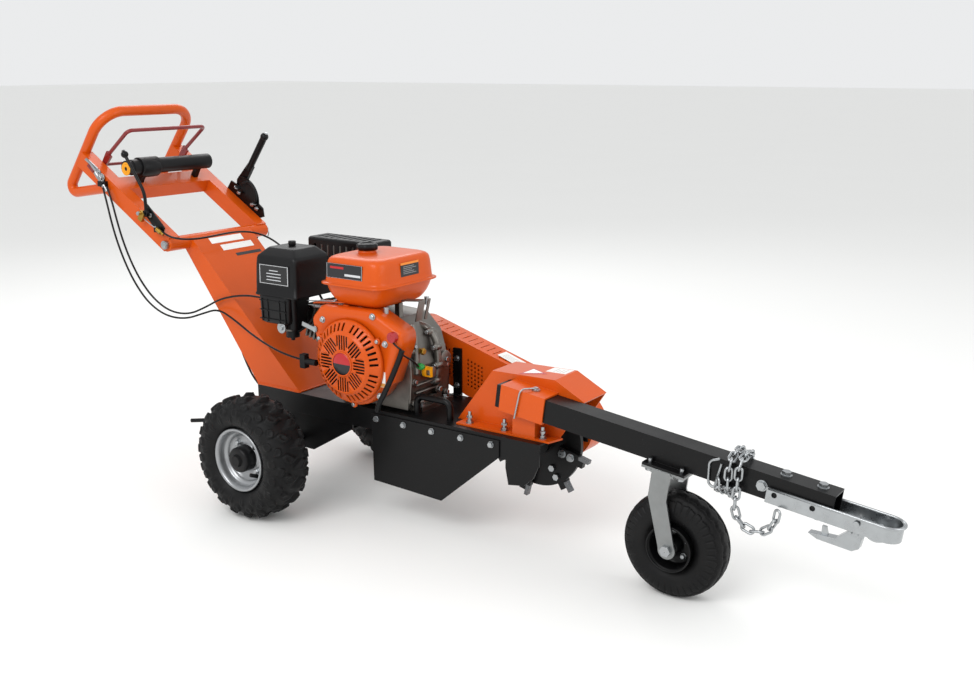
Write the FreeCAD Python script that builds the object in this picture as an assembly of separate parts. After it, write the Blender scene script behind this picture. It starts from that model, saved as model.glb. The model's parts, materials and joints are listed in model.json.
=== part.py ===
import FreeCAD, Part
import math
import os

os.makedirs("parts", exist_ok=True)

V = FreeCAD.Vector
AX = V(1, 0, 0)
AY = V(0, 1, 0)
AZ = V(0, 0, 1)

# Driving dimensions, mm. X runs from the rear axle towards the coupler, Y to the belt side, Z up.
gap = 0.3                     # clearance between pieces that only sit side by side
run_fit = 0.05                # radial clearance of a shaft or pin in its bore

# rear wheels
tyre_r = 176.5
tyre_w = 140.0
track = 620.0                 # between the middles of the two rear wheels
rim_w = 116.0
rim_flange_r = 89.0
bead_r = 76.0
rim_well_r = 62.0
hub_r = 24.0
axle_r = 12.5

# deck
deck_rear = -160.0
deck_front = 835.0
deck_w = 250.0
deck_top = 315.0
deck_t = 5.0
deck_side = 60.0

# mast and handle
mast_t = 4.0
mast_w = 244.0
mast_foot = 170.0
pivot_x = -440.0
pivot_z = 721.0
pivot_r = 8.0
boss_r = 21.0
rail_len = 452.0
rail_angle = 31.6
rail_w = 40.0
rail_d = 50.0
rail_gap = 320.0              # inside width between the rails
rail_wall = 2.5
loop_r = 16.0
loop_top_z = 1104.0
cross_u = 250.0               # along the rail to the crossbar
cross_w = 60.0
tool_r = 24.0
tool_len = 328.0
bail_u = 397.0                # along the rail to the bail's pivot
bail_r = 6.0
bail_pin_r = 5.0

# engine
crank_x = 250.0
crank_z = 456.0
crank_r = 12.6
block_y0 = -98.0
block_y1 = 75.0
cowl_r = 126.0
cowl_y = -165.0
cowl_t = 3.0
recoil_r = 117.0
recoil_deep = 38.0
tank_x0 = 143.0
tank_x1 = 355.0
tank_y0 = -165.0
tank_y1 = 95.0
tank_z0 = 606.0
tank_seam = 664.0
tank_z1 = 741.0
filter_x0 = -121.0
filter_x1 = 46.0
filter_y0 = -160.0
filter_y1 = -2.0
filter_z0 = 600.0
filter_z1 = 739.0

# cutter and its drive
cutter_x = 760.0
cutter_z = 285.0
cutter_shaft_r = 15.0
disc_r = 128.0
disc_t = 12.0
tip_r = 165.0
tooth_count = 8
hood_w = 114.0
hood_t = 4.0
drive_r = 50.0
driven_r = 65.0
pulley_y = 165.0
pulley_w = 38.0
belt_w = 16.0
belt_t = 10.0
guard_y = 127.0
guard_w = 80.0
guard_t = 3.0
guard_rear_r = 67.0
guard_front_r = 86.0

# tow bar, sleeve, coupler and front wheel
bar_x = 700.0
bar_y = -90.0
bar_z = 422.3
bar_pitch = 7.1
bar_len = 888.0
bar_size = 60.0
bar_wall = 4.0
sleeve_wall = 4.5
sleeve_s0 = 15.0
sleeve_s1 = 146.0
front_r = 131.0
front_w = 85.0
front_x = 1205.0
front_rim_r = 58.0
front_axle_r = 8.0
plate_s = 440.0
plate_size = 110.0
leg_w = 44.0
leg_t = 6.0
coupler_s0 = 738.0
coupler_s1 = 1034.0
ball_s = 982.0
ball_r = 25.4                 # 2 inch ball
chain_d = 6.0
chain_len = 36.0
chain_wide = 22.0

cable_r = 3.0

deck_y = deck_w / 2
deck_under = deck_top - deck_t
rear_x = -912.0               # rearmost point of the handle loop
nose_x = bar_x + coupler_s1 * math.cos(math.radians(bar_pitch)) + 2
origin_x = (rear_x + nose_x) / 2
saved = []


def save(name, solids):
    items = solids if isinstance(solids, (list, tuple)) else [solids]
    pieces = []
    for item in items:
        pieces += [s.copy() for s in item.Solids]
    if not pieces:
        raise ValueError("empty node " + name)
    for piece in pieces:
        piece.translate(V(-origin_x, 0, 0))
    shape = Part.makeCompound(pieces)
    shape.exportStep("parts/" + name + ".step")
    ok = all(piece.isValid() for piece in pieces)
    saved.append(name)
    print(name, len(pieces), "valid" if ok else "INVALID")


def box(x0, x1, y0, y1, z0, z1):
    return Part.makeBox(x1 - x0, y1 - y0, z1 - z0, V(x0, y0, z0))


def cyl(p, d, r, length):
    return Part.makeCylinder(r, length, V(*p), d)


def cyl_y(x, z, r, y0, y1):
    return Part.makeCylinder(r, y1 - y0, V(x, y0, z), AY)


def rod(a, b, r):
    d = V(*b) - V(*a)
    return Part.makeCylinder(r, d.Length, V(*a), d)


def prism_y(points, y0, y1):
    corners = [V(x, y0, z) for x, z in points]
    face = Part.Face(Part.makePolygon(corners + corners[:1]))
    return face.extrude(V(0, y1 - y0, 0))


def prism_z(points, z0, z1):
    corners = [V(x, y, z0) for x, y in points]
    face = Part.Face(Part.makePolygon(corners + corners[:1]))
    return face.extrude(V(0, 0, z1 - z0))


def turned_y(profile, x, y, z):
    # profile: (radius, offset along Y) corners, turned about the Y line through (x, z)
    corners = [V(x + r, y + off, z) for r, off in profile]
    face = Part.Face(Part.makePolygon(corners + corners[:1]))
    return face.revolve(V(x, y, z), AY, 360)


def fuse(*shapes):
    first, rest = shapes[0], list(shapes[1:])
    return first.fuse(rest).removeSplitter() if rest else first


def mirror_y(shape):
    return shape.mirror(V(0, 0, 0), AY)


def path_wire(points, share=0.45):
    # straight runs joined by tangent arcs; each arc takes the same share of its shorter run
    pts = [V(*p) for p in points]
    edges = []
    radii = []
    last = pts[0]
    for i in range(1, len(pts) - 1):
        a, b, c = pts[i - 1], pts[i], pts[i + 1]
        back = (a - b).normalize()
        ahead = (c - b).normalize()
        turn = math.pi - back.getAngle(ahead)
        cut = share * min((a - b).Length, (c - b).Length)
        radius = cut / math.tan(turn / 2)
        radii.append(radius)
        p0 = b + back * cut
        p1 = b + ahead * cut
        centre_dir = (back + ahead).normalize()
        centre = b + centre_dir * (radius / math.cos(turn / 2))
        mid = centre - centre_dir * radius
        edges.append(Part.LineSegment(last, p0).toShape())
        edges.append(Part.Arc(p0, mid, p1).toShape())
        last = p1
    edges.append(Part.LineSegment(last, pts[-1]).toShape())
    return Part.Wire(edges), radii


def bent_tube(points, r, share=0.45, label=""):
    wire, radii = path_wire(points, share)
    start = wire.Edges[0]
    along = start.tangentAt(start.FirstParameter)
    ring = Part.Wire(Part.makeCircle(r, V(*points[0]), along))
    tube = wire.makePipeShell([ring], True, False)
    if label:
        want = math.pi * r * r * wire.Length
        print(label, "length %.0f" % wire.Length, "volume ratio %.3f" % (tube.Volume / want),
              "least radius %.0f" % min(radii), "radii", [round(v) for v in radii])
    return tube


def hexagon(p, d, across, high):
    # six-sided prism standing on p along d
    d = V(d).normalize()
    side = AZ if abs(d.z) < 0.9 else AX
    u = d.cross(side).normalize()
    w = d.cross(u)
    r = across / math.sqrt(3)
    corners = []
    for k in range(6):
        a = math.radians(60 * k)
        corners.append(V(*p) + u * (r * math.cos(a)) + w * (r * math.sin(a)))
    face = Part.Face(Part.makePolygon(corners + corners[:1]))
    return face.extrude(d * high)


def bolt(p, d, size, length):
    # hexagon bolt: washer and head proud of p along d, shank running back from p
    d = V(d).normalize()
    washer = 0.16 * size
    base = V(*p)
    head = hexagon(base + d * washer, d, 1.6 * size, 0.65 * size)
    parts = Part.makeCylinder(1.1 * size, washer, base, d)
    shank = Part.makeCylinder(size / 2, length + washer, base + d * washer, d * -1)
    return fuse(head, parts, shank)


def bolt_hole(p, d, size, length):
    d = V(d).normalize()
    return Part.makeCylinder(size / 2 + gap, length + 2, V(*p) + d, d * -1)


def pierced(shape, bolts):
    for p, d, size, length in bolts:
        shape = shape.cut(bolt_hole(p, d, size, length))
    return shape


def two_circle_outline(xa, za, ra, xb, zb, rb, y):
    # wire round two circles with their outer tangents, in the plane at y
    dx, dz = xb - xa, zb - za
    dist = math.hypot(dx, dz)
    lean = math.asin((rb - ra) / dist)
    base = math.atan2(dz, dx)
    up = base + math.pi / 2 + lean
    down = base - math.pi / 2 - lean

    def at(x, z, r, a):
        return V(x + r * math.cos(a), y, z + r * math.sin(a))

    a_up, b_up = at(xa, za, ra, up), at(xb, zb, rb, up)
    a_dn, b_dn = at(xa, za, ra, down), at(xb, zb, rb, down)
    edges = [Part.LineSegment(a_up, b_up).toShape(),
             Part.Arc(b_up, at(xb, zb, rb, base), b_dn).toShape(),
             Part.LineSegment(b_dn, a_dn).toShape(),
             Part.Arc(a_dn, at(xa, za, ra, base + math.pi), a_up).toShape()]
    return Part.Wire(edges)


def two_circle_prism(ra, rb, y0, y1):
    wire = two_circle_outline(crank_x, crank_z, ra, cutter_x, cutter_z, rb, y0)
    return Part.Face(wire).extrude(V(0, y1 - y0, 0))


def on_bar(shape):
    # bar frame: X along the bar from its rear end, Y across, Z up from its middle line
    shape = shape.copy()
    shape.rotate(V(0, 0, 0), AY, bar_pitch)
    shape.translate(V(bar_x, bar_y, bar_z))
    return shape


def to_bar(x, z):
    a = math.radians(bar_pitch)
    dx, dz = x - bar_x, z - bar_z
    return dx * math.cos(a) - dz * math.sin(a), dx * math.sin(a) + dz * math.cos(a)


def on_rail(shape):
    # rail frame: X up along the rail from the handle's pivot, Z square to it, upwards
    shape = shape.copy()
    shape = shape.mirror(V(0, 0, 0), AX)
    shape.rotate(V(0, 0, 0), AY, rail_angle)
    shape.translate(V(pivot_x, 0, pivot_z))
    return shape


def rail_point(u, v):
    a = math.radians(rail_angle)
    return (pivot_x - u * math.cos(a) + v * math.sin(a), pivot_z + u * math.sin(a) + v * math.cos(a))


# ---- rear wheels -------------------------------------------------------------------------------

def rear_wheel(side):
    y = side * track / 2
    half = rim_w / 2
    t = 3.0
    disc = 12.0
    # steel rim: two flanges, bead seats, drop centre, then the wheel disc and its hub tube
    outer = [(bead_r, half - t), (rim_flange_r, half - t), (rim_flange_r, half), (bead_r - t, half),
             (bead_r - t, 30), (rim_well_r - t, 22), (rim_well_r - t, disc + t), (hub_r, disc + t),
             (hub_r, half - 4), (axle_r + run_fit, half - 4), (axle_r + run_fit, -half + 6),
             (hub_r, -half + 6), (hub_r, disc - t), (rim_well_r - t, disc - t),
             (rim_well_r - t, -22), (bead_r - t, -30), (bead_r - t, -half), (rim_flange_r, -half),
             (rim_flange_r, -half + t), (bead_r, -half + t), (bead_r, -30 + 1),
             (rim_well_r, -22 + 1), (rim_well_r, 22 - 1), (bead_r, 30 - 1)]
    rim = turned_y(outer, 0, 0, tyre_r)
    # tyre: hollow ring with beads on the rim, round shoulders and a flat crown
    w = tyre_w / 2
    bead = bead_r + gap
    bead_y = half - t - gap
    skin = [(bead, bead_y), (rim_flange_r + 2, bead_y), (108, w - 4), (128, w), (150, w - 2),
            (166, w - 12), (tyre_r - 2.5, w - 26), (tyre_r, w - 42)]
    inner = [(tyre_r - 15, w - 44), (152, w - 24), (130, w - 13), (104, bead_y - 9),
             (bead, bead_y - 11)]
    profile = skin + [(r, -o) for r, o in reversed(skin)]
    profile += [(r, -o) for r, o in reversed(inner)] + inner
    tyre = turned_y(profile, 0, 0, tyre_r)
    if side > 0:
        return rim_at(rim, y), rim_at(tyre, y)
    return rim_at(mirror_y(rim), y), rim_at(mirror_y(tyre), y)


def rim_at(shape, y):
    moved = shape.copy()
    moved.translate(V(0, y, 0))
    return moved


left_rim, left_tyre = rear_wheel(-1)
right_rim, right_tyre = rear_wheel(1)
save("left_rim", left_rim)
save("left_tyre", left_tyre)
save("right_rim", right_rim)
save("right_tyre", right_tyre)

axle_half = track / 2 + rim_w / 2 - 2
cap_r = 21.0
axle = cyl_y(0, tyre_r, axle_r, -axle_half, axle_half)
collar_w = 6.0
hub_in = track / 2 - rim_w / 2 + 6
collars = [cyl_y(0, tyre_r, 18, s * (hub_in - gap - collar_w / 2) - collar_w / 2,
                 s * (hub_in - gap - collar_w / 2) + collar_w / 2) for s in (-1, 1)]
ends = []
for s in (-1, 1):
    face = track / 2 + rim_w / 2 - 4 + gap
    cap = Part.makeCone(cap_r, cap_r - 6, 14, V(0, s * face, tyre_r), V(0, s, 0))
    ends.append(cap)
save("rear_axle", fuse(axle, *(collars + ends)))

# ---- deck --------------------------------------------------------------------------------------

skirt_pitch = 96.5
skirt_x0 = 304.0
skirt_t = 4.0
skirt_bolts = [((skirt_x0 + k * skirt_pitch, -deck_y - skirt_t, 290.0), V(0, -1, 0), 8.0, 14.0)
               for k in range(5)]
slot_x0 = 585.0
slot_y = hood_w / 2 + 3
bracket_y = deck_y - deck_t - 6
web_t = 6.0
pedal_x, pedal_z = -60.0, 216.0
pedal_pin_r = 6.0


def deck_frame():
    y = deck_y
    plate = box(deck_rear, deck_front, -y, y, deck_under, deck_top)
    sides = [box(deck_rear, deck_front, s * y - (deck_t if s > 0 else 0),
                 s * y + (deck_t if s < 0 else 0), deck_top - deck_side, deck_top) for s in (-1, 1)]
    back = box(deck_rear, deck_rear + deck_t, -y, y, deck_top - deck_side, deck_top)
    web = [(-120, deck_under), (-58, 148), (52, 148), (204, 238), (204, deck_under)]
    webs = [prism_y(web, s * bracket_y - web_t / 2, s * bracket_y + web_t / 2) for s in (-1, 1)]
    belly = box(-50, 204, -bracket_y, bracket_y, 234, 240)
    # near cheek plate beside the cutter, its front corner rounded
    cheek = [(733, deck_top - 2), (733, 234), (742, 189), (790, 196), (818, 222), (deck_front, 262),
             (deck_front, deck_top - 2)]
    near_cheek = prism_y(cheek, -y, -y + deck_t)
    far_face = slot_y + 3
    round_cheek = fuse(box(640, 850 - 60, far_face, far_face + deck_t, 186, deck_under + 1),
                       box(640, 850, far_face, far_face + deck_t, 246, deck_under + 1),
                       cyl_y(850 - 60, 246, 60, far_face, far_face + deck_t))
    body = fuse(plate, back, near_cheek, round_cheek, belly, *(sides + webs))
    slot = box(slot_x0, deck_front + 40, -slot_y, slot_y, deck_under - 60, deck_top + 1)
    body = body.cut(slot)
    body = body.cut(cyl_y(0, tyre_r, axle_r + run_fit, -y, y))
    body = body.cut(cyl_y(pedal_x, pedal_z, pedal_pin_r + run_fit, -y, 0))
    body = body.cut(cyl_y(cutter_x, cutter_z, cutter_shaft_r + 4, far_face - 1, y + 1))
    # U-shaped lifting bar welded to the deck
    lift_x0, lift_x1, lift_y = 415.0, 527.0, -85.0
    lift = bent_tube([(lift_x0, lift_y, deck_top - 1), (lift_x0, lift_y, deck_top + 50),
                      (lift_x1, lift_y, deck_top + 50), (lift_x1, lift_y, deck_top - 1)], 9, 0.4)
    return body.fuse(lift)


hood_bolts = [((x, -85.0, deck_top + 5.0), AZ, 10.0, 14.0) for x in (592.0, 703.0, 820.0)]
far_hood_bolts = [((x, 112.0, deck_top + 5.0), AZ, 10.0, 14.0) for x in (592.0, 700.0, 820.0)]
foot_t = 5.0
mast_bolts = [((x, s * 60.0, deck_top + foot_t), AZ, 10.0, 14.0) for x in (-100.0, -36.0) for s in (-1, 1)]
engine_foot = 14.0
engine_bolts = [((x, y, deck_top + engine_foot), AZ, 10.0, 24.0)
                for x in (147, 407) for y in (-56, 55)]
strap_x = 401.0
strap_y = guard_y - 7
strap_bolts = [((strap_x, strap_y, z), V(0, -1, 0), 8.0, 12.0) for z in (345.0, 425.0)]
bearing_y = 92.0
bearing_w = 26.0
bearing_foot = 12.0
bearing_bolts = [((cutter_x + dx, s * bearing_y, deck_under - bearing_foot), V(0, 0, -1), 8.0,
                  bearing_foot + deck_t - 1) for dx in (-37.0, 37.0) for s in (-1, 1)]
deck_bolts = skirt_bolts + hood_bolts + far_hood_bolts + mast_bolts + engine_bolts + bearing_bolts
deck = pierced(deck_frame(), deck_bolts)
save("deck_frame", deck)

skirt = prism_y([(288, 305), (291, 108), (527, 98), (715, 259), (715, 305)],
                -deck_y - skirt_t, -deck_y)
save("side_skirt", pierced(skirt, skirt_bolts))

# ---- mast --------------------------------------------------------------------------------------

mast_back_x = deck_rear
mast_front_x = deck_rear + mast_foot


def mast():
    y = mast_w / 2
    slope = math.atan2(735 - deck_top, -418 - mast_front_x)
    nx, nz = math.sin(slope), -math.cos(slope)
    front_a = (mast_front_x, deck_top)
    front_b = (-418.0, 735.0)
    outer = [(mast_back_x, deck_top), front_a, front_b, (-470.0, 728.0)]
    inner = [(mast_back_x - 80, deck_top - 20),
             (front_a[0] - mast_t * nx - 20 * (-418 - mast_front_x) / (735 - deck_top),
              front_a[1] - mast_t * nz - 20),
             (front_b[0] - mast_t * nx + 3, front_b[1] - mast_t * nz - 5), (-500.0, 722.0)]
    shell = prism_y(outer, -y, y).cut(prism_y(inner, -y + mast_t, y - mast_t))
    foot = box(mast_back_x, mast_front_x - 6, -deck_y, deck_y, deck_top, deck_top + foot_t)
    boss = cyl_y(pivot_x, pivot_z, boss_r, -y - 4, y + 4)
    body = fuse(shell, foot, boss)
    body = body.cut(cyl_y(pivot_x, pivot_z, pivot_r + run_fit, -y - 5, y + 5))
    return pierced(body, mast_bolts)


save("mast", mast())

rail_out = rail_gap / 2 + rail_w
pin_end = rail_out + 3
ring_at = V(pivot_x, pin_end + 7, pivot_z - 13)
ring = Part.makeTorus(13, 1.8, ring_at, AY)
pin_body = fuse(cyl_y(pivot_x, pivot_z, pivot_r, -pin_end, pin_end + 12),
                cyl_y(pivot_x, pivot_z, 13, -pin_end - 8, -pin_end + 2.7))
pin_body = pin_body.cut(Part.makeTorus(13, 1.8 + gap, ring_at, AY))
save("pivot_bolt", [pin_body, ring])

# ---- handle ------------------------------------------------------------------------------------

loop_points = [(-722, loop_top_z), (-926, 842), (-712, 874)]


def handle_rails():
    rails = []
    for s in (-1, 1):
        y0 = min(s * rail_gap / 2, s * rail_out)
        outer = box(0, rail_len, y0, y0 + rail_w, -rail_d / 2, rail_d / 2)
        inner = box(12, rail_len - rail_wall, y0 + rail_wall, y0 + rail_w - rail_wall,
                    -rail_d / 2 + rail_wall, rail_d / 2 - rail_wall)
        rails.append(on_rail(outer.cut(inner)))
        b0 = mast_w / 2 + 4 + gap
        b1 = rail_out
        y_low = min(s * b0, s * b1)
        rails.append(cyl_y(pivot_x, pivot_z, boss_r, y_low, y_low + b1 - b0))
    y = rail_gap / 2 + 1
    cross = fuse(box(cross_u, cross_u + cross_w, -y, y, 22, 25),
                 box(cross_u, cross_u + 3, -y, y, -20, 25))
    body = fuse(on_rail(cross), *rails)
    body = body.cut(cyl_y(pivot_x, pivot_z, pivot_r + run_fit, -300, 300))
    bx, bz = rail_point(bail_u, 12)
    return body.cut(cyl_y(bx, bz, bail_pin_r + run_fit, -300, 300))


def handle_loop():
    y = rail_gap / 2 + rail_w / 2
    top, low, end = loop_points
    points = [(end[0], -y, end[1]), (low[0], -y, low[1]), (top[0], -y, top[1]),
              (top[0], y, top[1]), (low[0], y, low[1]), (end[0], y, end[1])]
    return bent_tube(points, loop_r, 0.24).cut(bent_tube(points, loop_r - rail_wall, 0.24))


rails = handle_rails()
rail_solid = [on_rail(box(0, rail_len, s, s + rail_w, -rail_d / 2, rail_d / 2))
              for s in (-rail_out, rail_gap / 2)]
loop = handle_loop().cut(Part.makeCompound(rail_solid))
loop = max(loop.Solids, key=lambda s: s.Volume)
save("handle_rails", rails)
save("handle_loop", loop)

tool_x, tool_z = rail_point(cross_u + cross_w / 2 + 10, 74)


def tool_tube():
    half = tool_len / 2
    body = cyl_y(tool_x, tool_z, tool_r, -half + 18, half)
    collar = cyl_y(tool_x, tool_z, tool_r + 5, -half + 46, -half + 116)
    nose = cyl_y(tool_x, tool_z, tool_r - 2, -half, -half + 19)
    feet = [on_rail(box(cross_u + 22, cross_u + 38, y - 8, y + 8, 25 + gap, 62)) for y in (-100.0, 120.0)]
    return fuse(body, collar, nose, *feet)


save("tool_tube", tool_tube())

# ---- bail --------------------------------------------------------------------------------------

bail_x, bail_z = rail_point(bail_u, 12)
bail_top = (-639.0, 1049.0)


def bail():
    y = rail_gap / 2 - 7
    bar = cyl_y(bail_x, bail_z, bail_pin_r, -rail_out - 8, rail_out + 8)
    reach = (bail_x + 22.0, bail_z + 26.0)
    points = [(reach[0], -y, reach[1]), (bail_top[0], -y, bail_top[1]),
              (bail_top[0], y, bail_top[1]), (reach[0], y, reach[1])]
    arch = bent_tube(points, bail_r, 0.13)
    ears = []
    for s in (-1, 1):
        low = min(s * (y - 4), s * (y + 4))
        ear = [(bail_x - 9, bail_z - 4), (bail_x + 9, bail_z - 10), (bail_x + 44, bail_z + 26),
               (bail_x + 26, bail_z + 44)]
        ears.append(prism_y(ear, low, low + 8))
    tab = prism_y([(bail_x - 9, bail_z), (bail_x + 2, bail_z + 9), (bail_x + 24, bail_z - 12),
                   (bail_x + 16, bail_z - 20)], -rail_out - 7, -rail_out - 3)
    return fuse(bar, arch, tab, *ears)


save("bail", bail())

# ---- hand levers and their brackets ------------------------------------------------------------

left_pivot = (-506.0, 812.0)
right_pivot = (-556.0, 815.0)
lever_pin_r = 4.0


def control_brackets():
    yl = -rail_out
    left = prism_y([(-530, 815), (-512, 838), (-494, 822), (-440, 772), (-448, 752), (-470, 752)],
                   yl - 5, yl - gap)
    left = fuse(left, cyl_y(left_pivot[0], left_pivot[1], lever_pin_r, yl - 22, yl - 4),
                box(-474, -454, yl - 16, yl - 4, 758, 772))
    yr = rail_out
    plate = prism_y([(-600, 846), (-580, 872), (-520, 848), (-440, 790), (-436, 762), (-486, 748),
                     (-520, 768)], yr + gap, yr + 5)
    sector = cyl_y(right_pivot[0] + 20, right_pivot[1] - 5, 78, yr + gap, yr + 5)
    keep = prism_y([(right_pivot[0] + 20, right_pivot[1] - 20), (-440, 780), (-440, 900),
                    (right_pivot[0] + 10, 900)], yr, yr + 6)
    stop = box(-500, -480, yr + 4, yr + 22, 756, 770)
    right = fuse(plate, sector.common(keep), stop,
                 cyl_y(right_pivot[0], right_pivot[1], lever_pin_r, yr + 4, yr + 24))
    clamp_x, clamp_z = rail_point(318, 0)
    clamp = fuse(box(clamp_x - 18, clamp_x + 18, yl - 12, yl - gap, clamp_z - 8, clamp_z + 8),
                 cyl_y(clamp_x, clamp_z, 9, yl - 15, yl - 11))
    return [left, right, clamp]


save("control_brackets", control_brackets())


def throttle_lever():
    y = -rail_out - 13.0
    x, z = left_pivot
    hub = cyl_y(x, z, 10, y - 6, y + 6)
    arm = bent_tube([(x, y, z + 4), (x - 2, y, z + 62), (x - 42, y, z + 118), (x - 78, y, z + 168)], 5, 0.4)
    knob = Part.makeSphere(11, V(x - 80, y, z + 171), V(-36, 0, 50))
    body = fuse(hub, arm, knob)
    return body.cut(cyl_y(x, z, lever_pin_r + run_fit, y - 20, y + 20))


def brake_lever():
    y = rail_out + 14.0
    x, z = right_pivot
    hub = cyl_y(x, z, 14, y - 7, y + 7)
    arm = prism_y([(x - 14, z + 2), (x - 4, z + 62), (x + 52, z + 118), (x + 70, z + 104),
                   (x + 30, z + 48), (x + 14, z - 2)], y - 6, y + 6)
    grip = rod((x + 48, y, z + 96), (x + 126, y, z + 204), 11)
    knob = Part.makeSphere(13, V(x + 126, y, z + 204))
    body = fuse(hub, arm, grip, knob)
    return body.cut(cyl_y(x, z, lever_pin_r + run_fit, y - 20, y + 20))


save("throttle_lever", throttle_lever())
save("brake_lever", brake_lever())

# ---- cables ------------------------------------------------------------------------------------

bail_cable = [(-688, -209, 881), (-664, -213, 838), (-646, -215, 784), (-626, -214, 722),
              (-602, -208, 656), (-574, -197, 594), (-535, -184, 541), (-480, -170, 506),
              (-412, -156, 503), (-352, -142, 530), (-296, -135, 560), (-230, -135, 578),
              (-162, -138, 588), (-104, -130, 584), (-63.5, -108, 580)]
stop_cable = [(-694, -219, 878), (-676, -222, 830), (-660, -224, 776), (-640, -223, 714),
              (-615, -218, 648), (-588, -207, 585), (-548, -194, 528), (-488, -180, 493),
              (-415, -166, 490), (-350, -150, 514), (-292, -145, 533), (-226, -143, 507),
              (-160, -146, 476), (-92, -149, 452), (-28, -151, 436), (46, -151, 427), (127.5, -149, 424)]
throttle_cable = [(-452, -210, 765), (-418, -212, 750), (-384, -196, 742), (-364, -156, 739),
                  (-360, -100, 740), (-364, -36, 742), (-370, 32, 740), (-362, 92, 730),
                  (-330, 128, 708), (-282, 140, 674), (-232, 126, 636), (-186, 92, 604),
                  (-142, 48, 580), (-104, -16, 568), (-62.5, -84, 562)]
brake_cable = [(-476.9, 214, 763), (-469, 215, 724), (-471, 196, 680), (-466, 144, 654),
               (-446, 84, 620), (-404, 28, 576), (-352, -24, 520), (-298, -70, 456), (-246, -104, 404),
               (-212, -114, 364), (-190, -112, 326), (-165.5, -106, 300)]
cables = [bent_tube(bail_cable, cable_r, label="bail cable"),
          bent_tube(stop_cable, cable_r, label="stop cable"),
          bent_tube(throttle_cable, cable_r, label="throttle cable"),
          bent_tube(brake_cable, cable_r, label="brake cable")]
save("control_cables", cables)

# ---- engine ------------------------------------------------------------------------------------

shaft_hole = cyl_y(crank_x, crank_z, crank_r + run_fit, -300, 300)
oil_x = 402.0
oil_y = -40.0
oil_z = 424.0
lean = math.radians(15)


def along_bore(distance, side):
    return (crank_x - distance * math.cos(lean) - side * math.sin(lean),
            crank_z + distance * math.sin(lean) - side * math.cos(lean))


def engine_block():
    feet = box(132, 422, -72, block_y1 - 4, deck_top, deck_top + engine_foot)
    case = prism_y([(160, 322), (392, 322), (402, 400), (402, 440), (378, 520), (330, 566),
                    (210, 572), (150, 540), (140, 440)], block_y0, block_y1)
    half = 52.0
    block = prism_y([along_bore(60, -half), along_bore(60, half), along_bore(262, half),
                     along_bore(262, -half)], -64, 64)
    fins = []
    for k in range(9):
        d = 128 + 15 * k
        groove = prism_y([along_bore(d, -half - 2), along_bore(d, half + 2), along_bore(d + 8, half + 2),
                          along_bore(d + 8, -half - 2)], -66, 66)
        core = prism_y([along_bore(d - 1, -half + 12), along_bore(d - 1, half - 12),
                        along_bore(d + 9, half - 12), along_bore(d + 9, -half + 12)], -52, 52)
        fins.append(groove.cut(core))
    lid = prism_y([along_bore(262, -half + 8), along_bore(262, half - 8), along_bore(288, half - 14),
                   along_bore(288, -half + 14)], -46, 46)
    neck = cyl((oil_x - 12, oil_y, oil_z), AX, 16, 18)
    body = fuse(feet, case, block, lid, neck)
    for fin in fins:
        body = body.cut(fin)
    body = body.cut(shaft_hole)
    body = body.cut(cyl((oil_x - 20, oil_y, oil_z), AX, 9 + run_fit, 30))
    return pierced(body, engine_bolts)


block = engine_block()


def side_cover():
    ring = cyl_y(crank_x, crank_z, 96, block_y1, block_y1 + 16)
    low = prism_y([(165, 340), (392, 340), (396, 430), (350, 500), (180, 500), (150, 430)],
                  block_y1, block_y1 + 16)
    snout = cyl_y(crank_x, crank_z, 34, block_y1 + 14, block_y1 + 30)
    return fuse(ring, low, snout).cut(shaft_hole)


save("crankcase_cover", side_cover())


def cowl_face(grow):
    circle = Part.Face(Part.Wire(Part.makeCircle(cowl_r + grow, V(crank_x, cowl_y, crank_z), AY)))
    corners = [(130 - grow, 460), (104 - grow, 560), (140, 600 + grow), (320, 604 + grow),
               (424 + grow, 556), (426 + grow, 524), (374 + grow, 400), (250, 400)]
    pts = [V(x, cowl_y, z) for x, z in corners]
    poly = Part.Face(Part.makePolygon(pts + pts[:1]))
    return circle.fuse(poly).removeSplitter().Faces[0]


def fan_cowl():
    deep = -(cowl_y - block_y0) - gap
    outer = cowl_face(0).extrude(V(0, deep, 0))
    inner = cowl_face(-cowl_t).extrude(V(0, deep, 0))
    inner.translate(V(0, cowl_t, 0))
    shell = outer.cut(inner)
    shell = shell.cut(cyl_y(crank_x, crank_z, recoil_r - 14, cowl_y - 1, cowl_y + cowl_t + 1))
    shell = shell.cut(cyl_y(switch_x, switch_z, 7 + gap, cowl_y - 1, cowl_y + cowl_t + 1))
    shell = shell.cut(cyl_y(choke_x, choke_z, 4 + run_fit, cowl_y - 1, cowl_y + cowl_t + 1))
    low = box(0, 500, cowl_y - 1, cowl_y + deep + 1, 300, 328)
    return shell.cut(low)


switch_x, switch_z = 404.0, 545.0
choke_x, choke_z = 122.0, 530.0
save("fan_cowl", fan_cowl())

rope_z = 436.0


def recoil_cover():
    y1 = cowl_y - gap
    y0 = y1 - recoil_deep
    t = 3.0
    outer = turned_y([(0, y0), (recoil_r - 16, y0), (recoil_r - 4, y0 + 8), (recoil_r, y0 + 20),
                      (recoil_r, y1), (0, y1)], crank_x, 0, crank_z)
    inner = turned_y([(0, y0 + t), (recoil_r - 16 - t, y0 + t), (recoil_r - t, y0 + 20),
                      (recoil_r - t, y1 + 1), (0, y1 + 1)], crank_x, 0, crank_z)
    shell = outer.cut(inner)
    for k in range(24):
        if k % 4 == 3:
            continue
        a = math.radians(15 * k)
        slot = box(46, 92, y0 - 1, y0 + t + 1, -3.5, 3.5)
        slot.rotate(V(0, 0, 0), AY, 15 * k)
        slot.translate(V(crank_x, 0, crank_z))
        shell = shell.cut(slot)
    return shell.cut(cyl((crank_x - recoil_r - 2, y1 - 14, rope_z), AX, 5, 12))


save("recoil_cover", recoil_cover())

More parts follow.
